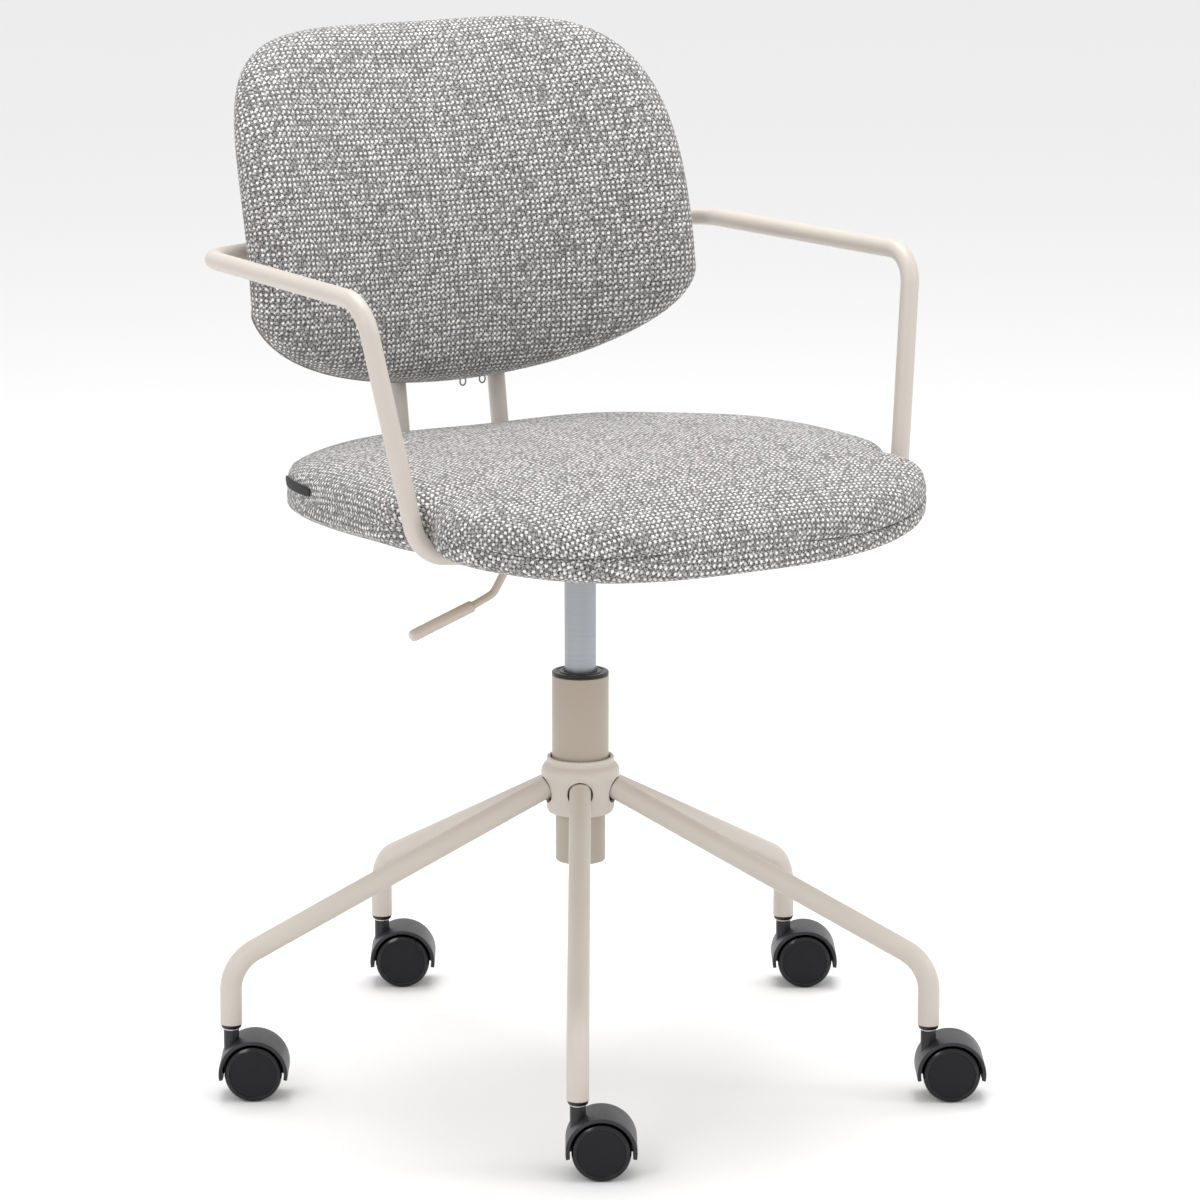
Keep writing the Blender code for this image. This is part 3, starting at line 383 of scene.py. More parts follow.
def joined_ends(bm, ends):
    """A closed prism between two matching outlines of vertices."""
    count = len(ends[0])
    for k in range(count):
        j = (k + 1) % count
        bm.faces.new((ends[0][k], ends[0][j], ends[1][j], ends[1][k]))
    bm.faces.new(ends[0])
    bm.faces.new(ends[1])


def plain_copy(obj):
    """The evaluated object as a plain mesh, smooth all over."""
    bpy.context.view_layer.update()
    made = bpy.data.meshes.new_from_object(obj.evaluated_get(bpy.context.evaluated_depsgraph_get()))
    made.shade_smooth()
    return made


def bent_path(points, radii, fine, loop=False):
    """Polyline with round bends, as a mandrel bender leaves them."""
    out = []
    count = len(points)
    for i, p in enumerate(points):
        r = radii[i]
        if r <= 0.0 or (not loop and i in (0, count - 1)):
            out.append(p.copy())
            continue
        a = (points[i - 1] - p).normalized()
        b = (points[(i + 1) % count] - p).normalized()
        half = a.angle(b) / 2.0
        turn = math.pi - 2.0 * half
        centre = p + (a + b).normalized() * (r / math.sin(half))
        start = (p + a * (r / math.tan(half))) - centre
        normal = a.cross(b).normalized()
        parts = max(3, int(fine * turn))
        out += [centre + Matrix.Rotation(-turn * k / parts, 3, normal) @ start for k in range(parts + 1)]
    return out


def tube(bm, path, radius, sides, loop=False, ends=None):
    """Sweeps a round tube.  ends is not used."""
    count = len(path)
    tangents = []
    for i in range(count):
        before = path[i - 1] if (loop or i > 0) else path[i]
        after = path[(i + 1) % count] if (loop or i < count - 1) else path[i]
        tangents.append((after - before).normalized())
    side = tangents[0].orthogonal().normalized()
    rings = []
    for i in range(count):
        if i:
            side = tangents[i - 1].rotation_difference(tangents[i]) @ side
        side = (side - tangents[i] * side.dot(tangents[i])).normalized()
        other = tangents[i].cross(side)
        r = radius(i / (count - 1)) if callable(radius) else radius
        rings.append([bm.verts.new(path[i] + (side * math.cos(a) + other * math.sin(a)) * r)
                      for a in [2.0 * math.pi * k / sides for k in range(sides)]])
    for a, b in zip(rings, rings[1:]):
        for k in range(sides):
            bm.faces.new((a[k], a[(k + 1) % sides], b[(k + 1) % sides], b[k]))
    if loop:
        start, end = rings[0], rings[-1]
        gaps = [sum((end[(k + s) % sides].co - start[k].co).length for k in range(sides))
                for s in range(sides)]
        s = gaps.index(min(gaps))
        for k in range(sides):
            bm.faces.new((end[(k + s) % sides], end[(k + 1 + s) % sides], start[(k + 1) % sides], start[k]))
    else:
        bm.faces.new(rings[0])
        bm.faces.new(rings[-1])
    return bm


def grid_mesh(name, points, mat, near_uv, far_uv, split):
    """Closed skin from rings of points, (rings, round, 3).  The UV maps are in metres: one for the
    panel before the seam at ring number split, and one for the panel after it."""
    rings, count, _ = points.shape
    coords = points.reshape(-1, 3)
    faces = []
    for i in range(rings - 1):
        a = np.arange(count) + i * count
        b = np.roll(np.arange(count), -1) + i * count
        faces.append(np.stack([a, b, b + count, a + count], 1))
    quads = np.concatenate(faces)
    mesh = bpy.data.meshes.new(name)
    caps = [list(range(count))[::-1], list(range((rings - 1) * count, rings * count))]
    mesh.from_pydata(coords.tolist(), [], quads.tolist() + caps)
    layer = mesh.uv_layers.new(name=CLOTH_MAP)
    index = np.zeros(len(mesh.loops), np.int32)
    mesh.loops.foreach_get("vertex_index", index)
    flat = np.where((np.arange(len(index)) < split * count * 4)[:, None],
                    near_uv.reshape(-1, 2)[index], far_uv.reshape(-1, 2)[index])
    flat[len(quads) * 4:len(quads) * 4 + count] = near_uv[0][::-1]
    layer.data.foreach_set("uv", flat.astype(np.float32).ravel())
    mesh.shade_smooth()
    mesh.materials.append(mat)
    bm = bmesh.new()
    bm.from_mesh(mesh)
    bmesh.ops.recalc_face_normals(bm, faces=bm.faces[:])
    bm.to_mesh(mesh)
    bm.free()
    return new_object(name, mesh)


# ---------------- repeats along a path
def repeat_tree():
    """Geometry nodes: bars laid one after another along a curve, such as stitches or zip teeth."""
    tree = bpy.data.node_groups.new("bars_along_a_path", "GeometryNodeTree")
    face = tree.interface
    face.new_socket("Geometry", in_out="INPUT", socket_type="NodeSocketGeometry")
    for label in ("Spacing", "Bar length", "Bar width", "Bar height"):
        face.new_socket(label, in_out="INPUT", socket_type="NodeSocketFloat")
    face.new_socket("Finish", in_out="INPUT", socket_type="NodeSocketMaterial")
    face.new_socket("Geometry", in_out="OUTPUT", socket_type="NodeSocketGeometry")
    given = add_node(tree, "NodeGroupInput")
    path = add_node(tree, "GeometryNodeMeshToCurve", None, None, {"Mesh": (given, "Geometry")})
    evenly = add_node(tree, "GeometryNodeResampleCurve", {"mode": "LENGTH"}, None,
                      {"Curve": (path, "Curve"), "Length": (given, "Spacing")})
    way = add_node(tree, "GeometryNodeInputTangent")
    facing = add_node(tree, "GeometryNodeInputNamedAttribute", {"data_type": "FLOAT_VECTOR"},
                      {"Name": "outward"})
    turn = add_node(tree, "FunctionNodeAlignEulerToVector", {"axis": "X"}, None,
                    {"Vector": (way, "Tangent")})
    roll = add_node(tree, "FunctionNodeAlignEulerToVector", {"axis": "Z", "pivot_axis": "X"}, None,
                    {"Rotation": (turn, "Rotation"), "Vector": (facing, "Attribute")})
    size = add_node(tree, "ShaderNodeCombineXYZ", None, None,
                    {"X": (given, "Bar length"), "Y": (given, "Bar width"),
                     "Z": (given, "Bar height")})
    bar = add_node(tree, "GeometryNodeMeshUVSphere", None, {"Segments": 8, "Rings": 5, "Radius": 0.5})
    laid = add_node(tree, "GeometryNodeInstanceOnPoints", None, None,
                    {"Points": (evenly, "Curve"), "Instance": (bar, "Mesh"),
                     "Rotation": (roll, "Rotation"), "Scale": (size, "Vector")})
    real = add_node(tree, "GeometryNodeRealizeInstances", None, None,
                    {"Geometry": (laid, "Instances")})
    finish = add_node(tree, "GeometryNodeSetMaterial", None, None,
                      {"Geometry": (real, "Geometry"), "Material": (given, "Finish")})
    add_node(tree, "NodeGroupOutput", None, None, {"Geometry": (finish, "Geometry")})
    return tree


REPEAT = repeat_tree()


def bars_along(name, points, outward, spacing, length, width, height, mat):
    """Lays small rounded bars along a line of points and returns them as one plain mesh."""
    mesh = bpy.data.meshes.new(name + "_line")
    mesh.from_pydata([tuple(p) for p in points], [(i, i + 1) for i in range(len(points) - 1)], [])
    facing = mesh.attributes.new("outward", "FLOAT_VECTOR", "POINT")
    facing.data.foreach_set("vector", [c for v in outward for c in v])
    line = new_object(name + "_line", mesh)
    mod = line.modifiers.new("repeat", "NODES")
    mod.node_group = REPEAT
    sockets = {s.name: s.identifier for s in REPEAT.interface.items_tree
               if s.item_type == "SOCKET" and s.in_out == "INPUT"}
    for label, value in (("Spacing", spacing), ("Bar length", length), ("Bar width", width),
                         ("Bar height", height), ("Finish", mat)):
        mod[sockets[label]] = value
    made = plain_copy(line)
    bpy.data.objects.remove(line, do_unlink=True)
    return new_object(name, made)


# ---------------- seat cushion
SEAT_HALF = 0.2533
SEAT_FRONT = -0.2765
SEAT_REAR = 0.2190
SEAT_CY = -0.0528
SEAT_THICK = 0.045       # half of the cushion's thickness
SEAT_CROWN = 0.0035
NOTCH_Y = -0.1375        # where the arm posts press into the sides
NOTCH_FROM = 0.130       # how far in from the middle the sides start to give
SIDE_TOP = 0.9846        # share of the half thickness at which the side starts
TOP_ROWS, SIDE_ROWS, LIP_ROWS = 26, 44, 14
ROUND = 560              # points round each cushion


def spow(v, e):
    return np.sign(v) * np.abs(v) ** e


def round_angles():
    return 2.0 * np.pi * (np.arange(ROUND) + 0.5) / ROUND


def panel_maps(pts, rim, split):
    """Weave maps of a padded form: outwards from the middle of the near panel, and from the seam
    back in to the middle of the far panel, both by length along the cloth."""
    step = np.linalg.norm(np.diff(pts, axis=0), axis=2)
    gone = np.concatenate([np.zeros((1, pts.shape[1])), np.cumsum(step, axis=0)])
    length = np.linalg.norm(rim, axis=1)
    way = rim / length[:, None]
    near = (gone + length * 0.02)[..., None] * way[None]
    left = 1.0 - (gone - gone[split]) / (gone[-1] - gone[split])
    far = (left * length)[..., None] * way[None]
    return near, far + np.array([0.0023, 0.0017])


def seat_rim(theta):
    c, s = np.cos(theta), np.sin(theta)
    n = np.where(s < 0.0, 2.98, 2.78)
    depth = np.where(s < 0.0, SEAT_CY - SEAT_FRONT, SEAT_REAR - SEAT_CY)
    return SEAT_HALF * spow(c, 2.0 / n), depth * spow(s, 2.0 / n)


def seat_mid(y):
    return 0.5172 - 0.0505 * y - 0.0211 * np.clip(-y / 0.24, 0.0, 2.0) ** 3


def seat_profile():
    """Shares of the outline and heights from the top's middle, round the side, to under the lip."""
    rows = [(k, None) for k in np.linspace(0.02, 0.66, TOP_ROWS)]
    for s in np.linspace(SIDE_TOP, 0.0, SIDE_ROWS):
        rows.append(((1.0 - s ** 6.0) ** (1.0 / 6.0), SEAT_THICK * s))
    for k in np.linspace(0.995, 0.81, LIP_ROWS):
        s = (1.0 - k ** 1.6) ** (1.0 / 1.6)
        rows.append((k, -0.046 * s))
    return rows


def seam_height(theta):
    """The sewn join runs round the side, a little higher in the middle of the front."""
    front = np.exp(-((np.mod(theta, 2 * np.pi) - np.radians(262.0)) / np.radians(22.0)) ** 2)
    return 0.0115 + 0.0070 * front


def side_give(x, y):
    """How far the arm posts press the sides in, and how near the rim a point is."""
    rim = np.clip((np.abs(x) - NOTCH_FROM) / (SEAT_HALF - NOTCH_FROM), 0.0, None)
    near = np.exp(-((y - NOTCH_Y) / 0.024) ** 2)
    return 0.0205 * near * rim ** 1.3, rim


def build_seat_cushion():
    theta = round_angles()
    ox, oy = seat_rim(theta)
    points = []
    for k, rise in seat_profile():
        x, y = ox * k, SEAT_CY + oy * k
        if rise is None:
            rise = SEAT_THICK * (1.0 - k ** 6.0) ** (1.0 / 6.0)
        z = seat_mid(y) + rise + SEAT_CROWN * max(0.0, 1.0 - (k / 0.9) ** 2)
        points.append(np.stack([x, y, z], 1))
    last = points[-1].copy()
    for share in (0.985, 0.97):
        ring = last.copy()
        ring[:, 0] *= share
        ring[:, 1] = SEAT_CY + (ring[:, 1] - SEAT_CY) * share
        ring[:, 2] += (1.0 - share) * 0.45
        points.append(ring)
    for k in (0.775, 0.4, 0.02):
        points.append(np.stack([ox * k, SEAT_CY + oy * k, np.full(ROUND, 0.5203)], 1))
    pts = np.array(points)
    x, y, z = pts[..., 0], pts[..., 1], pts[..., 2]
    give, rim = side_give(x, y)
    wide = np.exp(-((y - NOTCH_Y) / 0.060) ** 2)
    x -= np.sign(x) * (give + 0.0015 * wide * rim)
    puff = np.exp(-((y + 0.190) / 0.026) ** 2) + 0.7 * np.exp(-((y + 0.085) / 0.028) ** 2)
    x += np.sign(x) * 0.0022 * puff * rim ** 2
    z -= 0.0040 * wide * rim ** 2 * (z > 0.53)
    # folds that run in from each arm tube, and soft unevenness of the foam
    ahead = y - NOTCH_Y
    inward = SEAT_HALF - np.abs(x)
    for angle, deep in ((0.35, 0.0016), (1.1, 0.0011), (-0.4, 0.0012)):
        across = ahead * math.cos(angle) - inward * math.sin(angle)
        fade = np.exp(-inward / 0.045) * np.exp(-np.abs(ahead) / 0.055)
        z -= deep * np.exp(-(across / 0.006) ** 2) * fade * (z > 0.50)
    z += 0.0010 * np.sin(x * 31.0 + 1.3) * np.sin(y * 27.0 + 0.4) * (z > 0.54)
    # seam: a narrow sunk line with the fabric swelling on both sides
    height = z - seat_mid(y)
    centre = np.array([0.0, SEAT_CY])
    outward = pts[..., :2] - centre
    outward /= np.maximum(np.linalg.norm(outward, axis=2, keepdims=True), 1e-6)
    side = np.clip((np.hypot(x / SEAT_HALF, (y - SEAT_CY) / 0.27) - 0.80) / 0.1, 0.0, 1.0)
    away = height - seam_height(theta)[None, :]
    front = 0.35 + 0.65 * np.exp(-((y + 0.27) / 0.12) ** 2)
    swollen = 0.0007 * np.exp(-((np.abs(away) - 0.0045) / 0.003) ** 2)
    sunk = (swollen - 0.0021 * np.exp(-(away / 0.0013) ** 2)) * front
    x += outward[..., 0] * sunk * side
    y += outward[..., 1] * sunk * side
    # room for the uprights at the rear edge
    for side_x in (-UPRIGHT_X, UPRIGHT_X):
        close = np.exp(-((x - side_x) / 0.0115) ** 4)
        over = np.clip(y - (upright_y(z) - 0.0095), 0.0, None)
        y -= over * close
    pts = np.stack([x, y, z], -1)
    # the panels meet at the seam, 12.5 mm above the middle of the side
    split = TOP_ROWS + int(SIDE_ROWS * (1.0 - 0.0125 / (SIDE_TOP * SEAT_THICK)))
    near_uv, far_uv = panel_maps(pts, np.stack([ox, oy], 1), split)
    pts += np.array(AXIS)[None, None]
    return grid_mesh("seat_pad", pts, BOUCLE, near_uv, far_uv, split)


def seat_side(theta, rise):
    """Points on the cushion's side at a height above its middle, and the ways out of it."""
    ox, oy = seat_rim(theta)
    k = (1.0 - (rise / SEAT_THICK) ** 6.0) ** (1.0 / 6.0)
    x, y = ox * k, SEAT_CY + oy * k
    out = np.stack([ox, oy, np.zeros_like(ox)], 1)
    out /= np.linalg.norm(out, axis=1)[:, None]
    return np.stack([x, y, seat_mid(y) + rise], 1), out


def build_seat():
    pad = build_seat_cushion()
    stand_for(pad, "seat", "upholstery", "seat_cushion")
    theta = np.radians(np.linspace(205.0, 372.0, 500))
    line, out = seat_side(theta, seam_height(theta))
    line[:, 0] -= np.sign(line[:, 0]) * side_give(line[:, 0], line[:, 1])[0]
    line += out * -0.0013 + np.array(AXIS)
    stitches = bars_along("seat_seam_stitches", line, out, 0.0042, 0.0034, 0.0008, 0.0008, THREAD)
    added_to(stitches, "seat")


build_seat()


# ---------------- back cushion
BACK_LEAN = math.radians(15.0)
BACK_BEND = 0.65         # radius of the curved back
BACK_THICK = 0.025       # half of the cushion's thickness
BACK_TOP = 0.2484        # from the widest line up to the top edge
FACE_ROWS = 26
EDGE_STEP = 4.0          # degrees between the rings round the edge
ZIP_LEVEL = 42.0         # degrees round the edge, towards the rear


def back_rim(theta):
    c, s = np.cos(theta), np.sin(theta)
    n = np.where(s > 0.0, 4.24, 2.01)
    v = np.where(s > 0.0, BACK_TOP, 0.0765) * spow(s, 2.0 / n)
    u = 0.2294 * spow(c, 2.0 / n) * (1.0 - 0.014 * np.clip(v, 0.0, None) / BACK_TOP)
    return u, v - 0.0702


def back_map(u, w, d):
    """Bends the flat outline round the sitter, curves it up and down, and leans it back."""
    t = u / BACK_BEND
    x = (BACK_BEND + d) * np.sin(t)
    deep = (BACK_BEND + d) * np.cos(t) - BACK_BEND + 1.118 * w * w
    y = 0.2208 + deep * math.cos(BACK_LEAN) + w * math.sin(BACK_LEAN)
    z = 0.7363 + w * math.cos(BACK_LEAN) - deep * math.sin(BACK_LEAN)
    return np.stack([x, y, z], -1)


def edge_share(level):
    c = np.abs(np.cos(level)) ** (2.0 / 2.3)
    return 1.0 - (1.0 - c) * 0.2, spow(np.sin(level), 2.0 / 2.3)


def back_edge(theta, level):
    """Share of the outline and of the half thickness; the bottom edge stands fuller at the zip."""
    share, depth = edge_share(math.radians(level))
    if level <= 0.0:
        return np.full_like(theta, share), depth
    full = math.sin(math.pi * min(1.0, level / 84.0)) ** 2
    low = np.exp(-((np.degrees(np.mod(theta, 2.0 * np.pi)) - 270.0) / 62.0) ** 4)
    return share + 0.034 * full * low, depth


def build_back_cushion():
    theta = round_angles()
    u0, w0 = back_rim(theta)
    rows = [(k, -1.0, 0.0) for k in np.linspace(0.02, 0.78, FACE_ROWS)]
    for level in np.arange(-90.0, 90.0 + EDGE_STEP, EDGE_STEP):
        share, depth = back_edge(theta, level)
        rows.append((share, float(depth), level))
    rows += [(k, 1.0, 90.0) for k in np.linspace(0.78, 0.02, FACE_ROWS)]
    points = []
    for k, depth, level in rows:
        u, w = u0 * k, w0 * k
        swell = 0.0030 * np.clip(1.0 - (k / 0.8) ** 2, 0.0, 1.0)
        wave = 0.0011 * np.sin(u * 26.0 + 0.7) * np.sin(w * 30.0 + 1.1) * np.clip(1.0 - k, 0.0, 1.0)
        d = BACK_THICK * depth
        if depth < 0.0:
            d = d - swell + wave
        seam = np.exp(-((level - ZIP_LEVEL) / 2.6) ** 2) if depth > 0.0 else 0.0
        shrink = 1.0 - 0.012 * seam
        points.append(back_map(u * shrink, w * shrink, d))
    pts = np.array(points)
    split = FACE_ROWS + round((ZIP_LEVEL + 90.0) / EDGE_STEP)
    near_uv, far_uv = panel_maps(pts, np.stack([u0, w0], 1), split)
    pts += np.array(AXIS)[None, None]
    return grid_mesh("back_pad", pts, BOUCLE, near_uv, far_uv, split)


def build_back():
    pad = build_back_cushion()
    stand_for(pad, "seat", "upholstery", "back_cushion", "back_board")


build_back()


def zip_path(angle_from, angle_to, count, out):
    theta = np.radians(np.linspace(angle_from, angle_to, count))
    u, w = back_rim(theta)
    share, depth = back_edge(theta, ZIP_LEVEL)
    base = back_map(u * share, w * share, BACK_THICK * depth)
    far = back_map(u * (share + 0.03), w * (share + 0.03), BACK_THICK * depth + 0.0035)
    way = far - base
    way /= np.linalg.norm(way, axis=1)[:, None]
    return base + way * out + np.array(AXIS), way


def build_zip():
    line, way = zip_path(184.0, 356.0, 260, 0.0012)
    bm = bmesh.new()
    tube(bm, [Vector(p) for p in line], lambda t: 0.0016 * min(1.0, 0.1 + 25.0 * min(t, 1.0 - t)), 10)
    tape = as_object("zip_tape", bm, [ZIP_TAPE])
    stand_for(tape, "seat", "zip", "zip_chain")
    line, way = zip_path(188.0, 352.0, 400, 0.0025)
    teeth = bars_along("zip_teeth", line, way, 0.0016, 0.0009, 0.0022, 0.0011, NICKEL)
    added_to(teeth, "seat")
    for tag in "ab":
        low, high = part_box("zip_pull_" + tag)
        mid = (low + high) / 2.0
        top = high.z - 0.0006
        bm = bmesh.new()
        ring = []
        for k in range(36):
            a = 2.0 * math.pi * k / 36.0
            width = 0.0024 + 0.0010 * (1.0 - math.cos(a)) / 2.0
            ring.append(Vector((mid.x + width * math.sin(a), mid.y, top - 0.0045 + 0.0045 * math.cos(a))))
        tube(bm, ring, 0.0007, 12, loop=True)
        pull = as_object("zip_pull_wire_" + tag, bm, [NICKEL])
        stand_for(pull, "zip_pull_" + tag, "zip", "zip_pull_" + tag)
        slide = bmesh.new()
        bmesh.ops.create_uvsphere(slide, u_segments=20, v_segments=12, radius=0.5)
        at = Matrix.Translation((mid.x, mid.y - 0.0002, high.z + 0.0006))
        slide.transform(at @ Matrix.Diagonal((0.0075, 0.0042, 0.0026, 1.0)))
        added_to(as_object("zip_slider_" + tag, slide, [NICKEL]), "seat")


build_zip()


# ---------------- label on the seat's side
def build_label():
    """A plain black tape sewn flat to the side, with narrowed ends; it carries no lettering."""
    line, out = seat_side(np.radians(np.linspace(150.0, 169.0, 60)), 0.0213)
    bm = bmesh.new()
    rings = []
    for i in range(len(line)):
        here = Vector(line[i]) + AXIS
        end = min(i, len(line) - 1 - i) / 5.0
        half = 0.0043 * min(1.0, 0.72 + 0.28 * end)
        section = []
        for a, b in ((0.0009, -1.0), (0.0017, -1.0), (0.0022, 0.0), (0.0019, 1.0), (0.0009, 1.0)):
            section.append(bm.verts.new(here + Vector(out[i]) * a + Vector((0, 0, b * half))))
        rings.append(section)
    for a, b in zip(rings, rings[1:]):
        for j in range(5):
            bm.faces.new((a[j], a[(j + 1) % 5], b[(j + 1) % 5], b[j]))
    bm.faces.new(rings[0])
    bm.faces.new(rings[-1])
    stand_for(as_object("side_label", bm, [LABEL]), "seat", "label", "seat_tag")


build_label()


# ---------------- tubes
def build_arm_frame():
    right = [Vector((0.1400, -0.1310, TUBE_LOW)), ARM_LOW, ARM_FRONT, ARM_REAR]
    radii = [0.060, 0.032, 0.032, 0.032]
    points = [p + AXIS for p in right]
    bends = list(radii)
    for k in range(20, -21, -1):
        x = 0.20 * k / 20.0
        sweep = RAIL_SWEEP - math.sqrt(RAIL_SWEEP ** 2 - x * x)
        points.append(spot(x, 0.2498 - sweep, ARM_REAR.z))
        bends.append(0.0)
    for p, r in zip(reversed(right), reversed(radii)):
        points.append(spot(-p.x, p.y, p.z))
        bends.append(r)
    bm = bmesh.new()
    tube(bm, bent_path(points, bends, 14, loop=True), TUBE_RADIUS, 40, loop=True)
    stand_for(as_object("arm_tube", bm, [FRAME_COAT]), "seat", "frame_paint", "arm_frame")


def build_uprights():
    head, weld_radius = 0.7066, TUBE_RADIUS + 0.0004
    for x, tag in ((-UPRIGHT_X, "left"), (UPRIGHT_X, "right")):
        line = [spot(x, -0.1225, TUBE_LOW), spot(x, upright_y(TUBE_LOW), TUBE_LOW),
                spot(x, upright_y(head), head)]
        bm = bmesh.new()
        tube(bm, bent_path(line, (0, 0.030, 0), 14), TUBE_RADIUS, 40)
        obj = as_object("upright_tube_" + tag, bm, [FRAME_COAT])
        stand_for(obj, "seat", "frame_paint", "upright_" + tag)
        bm = bmesh.new()
        ring = [spot(x + weld_radius * math.cos(a), upright_y(0.7062) + weld_radius * math.sin(a), 0.7064)
                for a in [2.0 * math.pi * k / 40 for k in range(40)]]
        tube(bm, ring, 0.0011, 8, loop=True)
        added_to(as_object("upright_weld_" + tag, bm, [FRAME_COAT]), "seat")


build_arm_frame()
build_uprights()


def leg_way(angle):
    t = math.radians(angle)
    return Vector((math.sin(t), -math.cos(t), 0.0))


def build_legs():
    lip_line = softened([(0.0, LEG_FOOT + 0.0001), (LEG_RADIUS, LEG_FOOT + 0.0001),
                         (LEG_RADIUS, LEG_FOOT - 0.0005), (0.0, LEG_FOOT - 0.0005)], 0.0004)
    high = LEG_KNEE + LEG_SLOPE * (LEG_CIRCLE - LEG_INNER)
    for angle, tag in zip(LEG_ANGLES, LEG_TAGS):
        way = leg_way(angle)
        start, end = AXIS + way * LEG_INNER, AXIS + way * LEG_CIRCLE
        line = [start + Vector((0, 0, high)), end + Vector((0, 0, LEG_KNEE)),
                end + Vector((0, 0, LEG_FOOT))]
        bm = bmesh.new()
        tube(bm, bent_path(line, (0, 0.038, 0), 16), LEG_RADIUS, 44)
        add_to(bm, turned(lip_line, 44, False, Matrix.Translation(end)))
        stand_for(as_object("leg_tube_" + tag, bm, [FRAME_COAT]), "base", "frame_paint", "leg_" + tag)


build_legs()


# ---------------- column, hub and lift
def build_column():
    """Closed (radius, height) outlines turned about the column's axis."""
    at = Matrix.Translation(AXIS)
    tube_line = [(0.0055, 0.1871), (0.0210, 0.1871), (0.0220, 0.1880), (0.0220, 0.2704), (0.0250, 0.2704),
                 (0.0250, 0.3545), (0.0221, 0.3545), (0.0221, 0.2860), (0.0195, 0.2820), (0.0195, 0.1901),
                 (0.0055, 0.1901)]
    # the sleeve's darker coat is painted shade from the seat above it
    obj = as_object("column_sleeve", turned(softened(tube_line, 0.0006, True), 96, True, at), [SHADED_COLUMN_COAT])
    stand_for(obj, "base", "column_paint", "column_tube")
    bush = [(0.0143, 0.2900), (0.0217, 0.2900), (0.0217, 0.3548), (0.0250, 0.3548), (0.0250, 0.3559),
            (0.0245, 0.3562), (0.0250, 0.3565), (0.0250, 0.3573), (0.0242, 0.3579), (0.0214, 0.3580),
            (0.0210, 0.3572), (0.0190, 0.3572), (0.0186, 0.3583), (0.0160, 0.3584), (0.0156, 0.3574),
            (0.0143, 0.3572)]
    obj = as_object("lift_bush", turned(softened(bush, 0.0004, True), 96, True, at), [BLACK_NYLON])
    stand_for(obj, "base", "black_plastic", "guide_bush")
    lift = [(0.0053, 0.2805), (0.0132, 0.2805), (0.0140, 0.2813), (0.0140, 0.4505), (0.0132, 0.4687),
            (0.0126, 0.4695), (0.0044, 0.4695), (0.0044, 0.4455), (0.0110, 0.4455), (0.0110, 0.2865),
            (0.0053, 0.2865)]
    obj = as_object("lift_cylinder", turned(softened(lift, 0.0004, True), 96, True, at), [LIFT_TUBE])
    stand_for(obj, "seat", "lift_tube", "gas_cylinder")


build_column()


HOLE_RADIUS = 0.0112


def build_hub():
    """Pressed hub cover with a hole for each leg; the cut edge is rounded after cutting."""
    cover = [(0.0263, 0.2815), (0.0289, 0.2815), (0.0295, 0.2809), (0.0295, 0.2772), (0.0304, 0.2756),
             (0.0326, 0.2735), (0.0341, 0.2710), (0.0346, 0.2680), (0.0346, 0.2650), (0.0323, 0.2520),
             (0.0302, 0.2400), (0.0296, 0.2345), (0.0282, 0.2315), (0.0262, 0.2310), (0.0246, 0.2310),
             (0.0272, 0.2385), (0.0322, 0.2655), (0.0296, 0.2742), (0.0263, 0.2768)]
    obj = as_object("hub_shell", turned(softened(cover, 0.0010, True), 120, True,
                                        Matrix.Translation(AXIS)), [FRAME_COAT])
    outline = []
    for k in range(48):
        a = 2.0 * math.pi * (k + 0.5) / 48.0
        middle = 0.2535 if a < math.pi else 0.2523
        outline.append((HOLE_RADIUS * math.cos(a), middle + HOLE_RADIUS * math.sin(a)))
    tools = []
    for angle, tag in zip(LEG_ANGLES, LEG_TAGS):
        bm = bmesh.new()
        joined_ends(bm, [[bm.verts.new((a, level, b)) for a, b in outline] for level in (-0.050, -0.0255)])
        bm.transform(Matrix.Translation(AXIS) @ Matrix.Rotation(math.radians(angle), 4, "Z"))
        tool = as_object("leg_hole_" + tag, bm, [FRAME_COAT])
        mod = obj.modifiers.new("leg_hole_" + tag, "BOOLEAN")
        mod.operation = "DIFFERENCE"
        mod.solver = "EXACT"
        mod.object = tool
        tools.append(tool)
    bevel = obj.modifiers.new("rounded_edge", "BEVEL")
    bevel.width = 0.0005
    bevel.segments = 2
    bevel.limit_method = "ANGLE"
    bevel.angle_limit = math.radians(50.0)
    made = plain_copy(obj)
    obj.modifiers.clear()
    obj.data = made
    for tool in tools:
        bpy.data.objects.remove(tool, do_unlink=True)
    made.set_sharp_from_angle(angle=math.radians(40.0))
    stand_for(obj, "base", "frame_paint", "hub_cover")


build_hub()


# ---------------- casters
WHEEL_RADIUS = 0.0250


def caster_matrix(angle):
    """The stem's place on the floor, and the frame of the axle behind it."""
    stem = AXIS + leg_way(angle) * LEG_CIRCLE
    trail = Vector((math.cos(TRAIL_ANGLE), math.sin(TRAIL_ANGLE), 0.0))
    centre = stem + trail * TRAIL + Vector((0, 0, WHEEL_RADIUS))
    return stem, Matrix.Translation(centre) @ Matrix.Rotation(TRAIL_ANGLE, 4, "Z")


